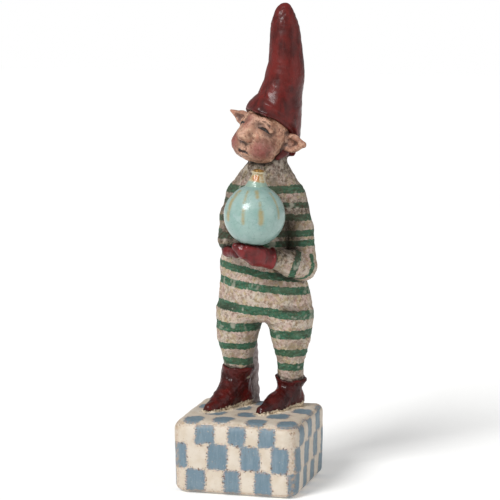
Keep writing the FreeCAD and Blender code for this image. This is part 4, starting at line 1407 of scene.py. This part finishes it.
FACE_MARKS = {"blush": blush, "dusk": dusk, "face_highlight": face_highlight, "line": face_lines}
EAR_MARKS = {"blush": everywhere(0.2), "dusk": ear_dusk, "face_highlight": everywhere(0.0), "line": everywhere(FAR)}
NO_SOLE = {"sole": everywhere(FAR)}
for side in SIDES:
    boot, mitten, ear = f"{side}_boot", f"{side}_mitten", f"{side}_ear"
    sculpt(boot, BOOTS[side], boot_relief, {"sole": soles}, BOOT_PAINT, 0.36, figure_field, 4.0)
    sculpt(mitten, HANDS[side], mitten_relief, NO_SOLE, MITTEN_PAINT, 0.35, figure_field, 6.0)
    sculpt(ear, ear_piece(side), skin_relief, EAR_MARKS, SKIN, 0.28, figure_without_hat, 9.0)
sculpt("head", head_piece, skin_relief, FACE_MARKS, SKIN, 0.28, figure_without_hat, 8.0)
sculpt("hat", hat_field, hat_relief, {}, HAT_PAINT, 0.4, figure_field, 5.0)
sculpt("rear_support_post", post_field, post_relief, {}, PULP, 0.4, figure_field, 2.0)

BALL_MARKS = {"stroke": ball_strokes}
CAP_MARKS = {"stain": cap_stain, "mint": cap_mint}
BLOCK_MARKS = {"check": check_distance, "round": rounding, "crumb": crumbs}
sculpt("ornament_ball", ball_field, glaze_relief, BALL_MARKS, MINT, 0.4, figure_field, 2.0)
sculpt("ornament_cap", cap_field, skin_relief, CAP_MARKS, GILT, 0.2, figure_field, 1.5)
sculpt("ornament_ring", ring_field, glaze_relief, {}, RING, 0.15, None, 1.0)
sculpt("base_block", block_field, block_relief, BLOCK_MARKS, CHECKS, 0.45, figure_field, 2.0)

# The CAD's own solids that stay: the felt underneath and what is inside.

STEEL_NODES = (
    "right_leg_rod", "left_leg_rod", "rear_post_peg", "right_arm_wire", "left_arm_wire", "hat_wire",
    "ornament_pin",
)
for nodes, material in (
    (("base_felt",), felt_material()),
    (("neck_dowel",), wood_material()),
    (STEEL_NODES, steel_material()),
):
    for node in nodes:
        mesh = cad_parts[node].data
        mesh.materials.clear()
        mesh.materials.append(material)

# The studio: a pale floor in a white world, soft lights and the camera.

FLOOR_REACH = 3.0
FLOOR_GLOW = 0.17
SKY_POWER = 0.38
FILL_POWER = 2.6
KEY_POWER = 2.55
WHITE = (1, 1, 1, 1)
LIT = Vector((0.0, 0.0, 0.12))


def place(name, data, where, target):
    """Puts a light or the camera somewhere, turned towards a target."""
    thing = bpy.data.objects.new(name, data)
    thing.location = where
    thing.rotation_euler = (target - Vector(where)).to_track_quat("-Z", "Y").to_euler()
    bpy.context.scene.collection.objects.link(thing)
    return thing


floor_mesh = bpy.data.meshes.new("studio_floor")
corners = [(x * FLOOR_REACH, y * FLOOR_REACH, 0) for x, y in ((-1, -1), (1, -1), (1, 1), (-1, 1))]
floor_mesh.from_pydata(corners, [], [(0, 1, 2, 3)])
floor = bpy.data.objects.new("studio_floor", floor_mesh)
bpy.context.scene.collection.objects.link(floor)
floor_nodes = Nodes("studio_floor")
floor_nodes.finish((250, 250, 249), 0.9, specular=0.1)
floor_nodes.shader.inputs["Emission Color"].default_value = WHITE
floor_nodes.shader.inputs["Emission Strength"].default_value = FLOOR_GLOW
floor_mesh.materials.append(floor_nodes.material)

# The camera sees a plain white world, and the object is lit by a dimmer one.
world = bpy.data.worlds.new("studio")
bpy.context.scene.world = world
world.use_nodes = True
tree = world.node_tree
sky = tree.nodes["Background"]
backdrop = tree.nodes.new("ShaderNodeBackground")
for background, power in ((sky, SKY_POWER), (backdrop, 1.0)):
    background.inputs["Color"].default_value = WHITE
    background.inputs["Strength"].default_value = power
seen = tree.nodes.new("ShaderNodeLightPath")
choose = tree.nodes.new("ShaderNodeMixShader")
tree.links.new(seen.outputs["Is Camera Ray"], choose.inputs["Fac"])
tree.links.new(sky.outputs["Background"], choose.inputs[1])
tree.links.new(backdrop.outputs["Background"], choose.inputs[2])
tree.links.new(choose.outputs["Shader"], tree.nodes["World Output"].inputs["Surface"])

fill = bpy.data.lights.new("fill", "AREA")
fill.shape = "RECTANGLE"
fill.size, fill.size_y = 1.0, 1.0
fill.energy = FILL_POWER
place("fill", fill, (1.4, -0.2, 0.6), LIT)
key = bpy.data.lights.new("key", "SUN")
key.energy = KEY_POWER
key.angle = math.radians(24)
place("key", key, (-0.37, -0.85, 0.89), LIT)

AZIMUTH, ELEVATION, DISTANCE = math.radians(15), math.radians(8), 1.0
LOOK = Vector((0, 0, 0.110))
back = Vector((
    math.sin(AZIMUTH) * math.cos(ELEVATION),
    -math.cos(AZIMUTH) * math.cos(ELEVATION),
    math.sin(ELEVATION),
))
camera_data = bpy.data.cameras.new("camera")
camera_data.sensor_width = 36
camera_data.lens = 158.4
camera_data.shift_x = 0.002
camera_data.shift_y = -0.007
camera_data.clip_start = 0.05
bpy.context.scene.camera = place("camera", camera_data, LOOK + DISTANCE * back, LOOK)
bpy.context.scene.view_settings.view_transform = "Standard"
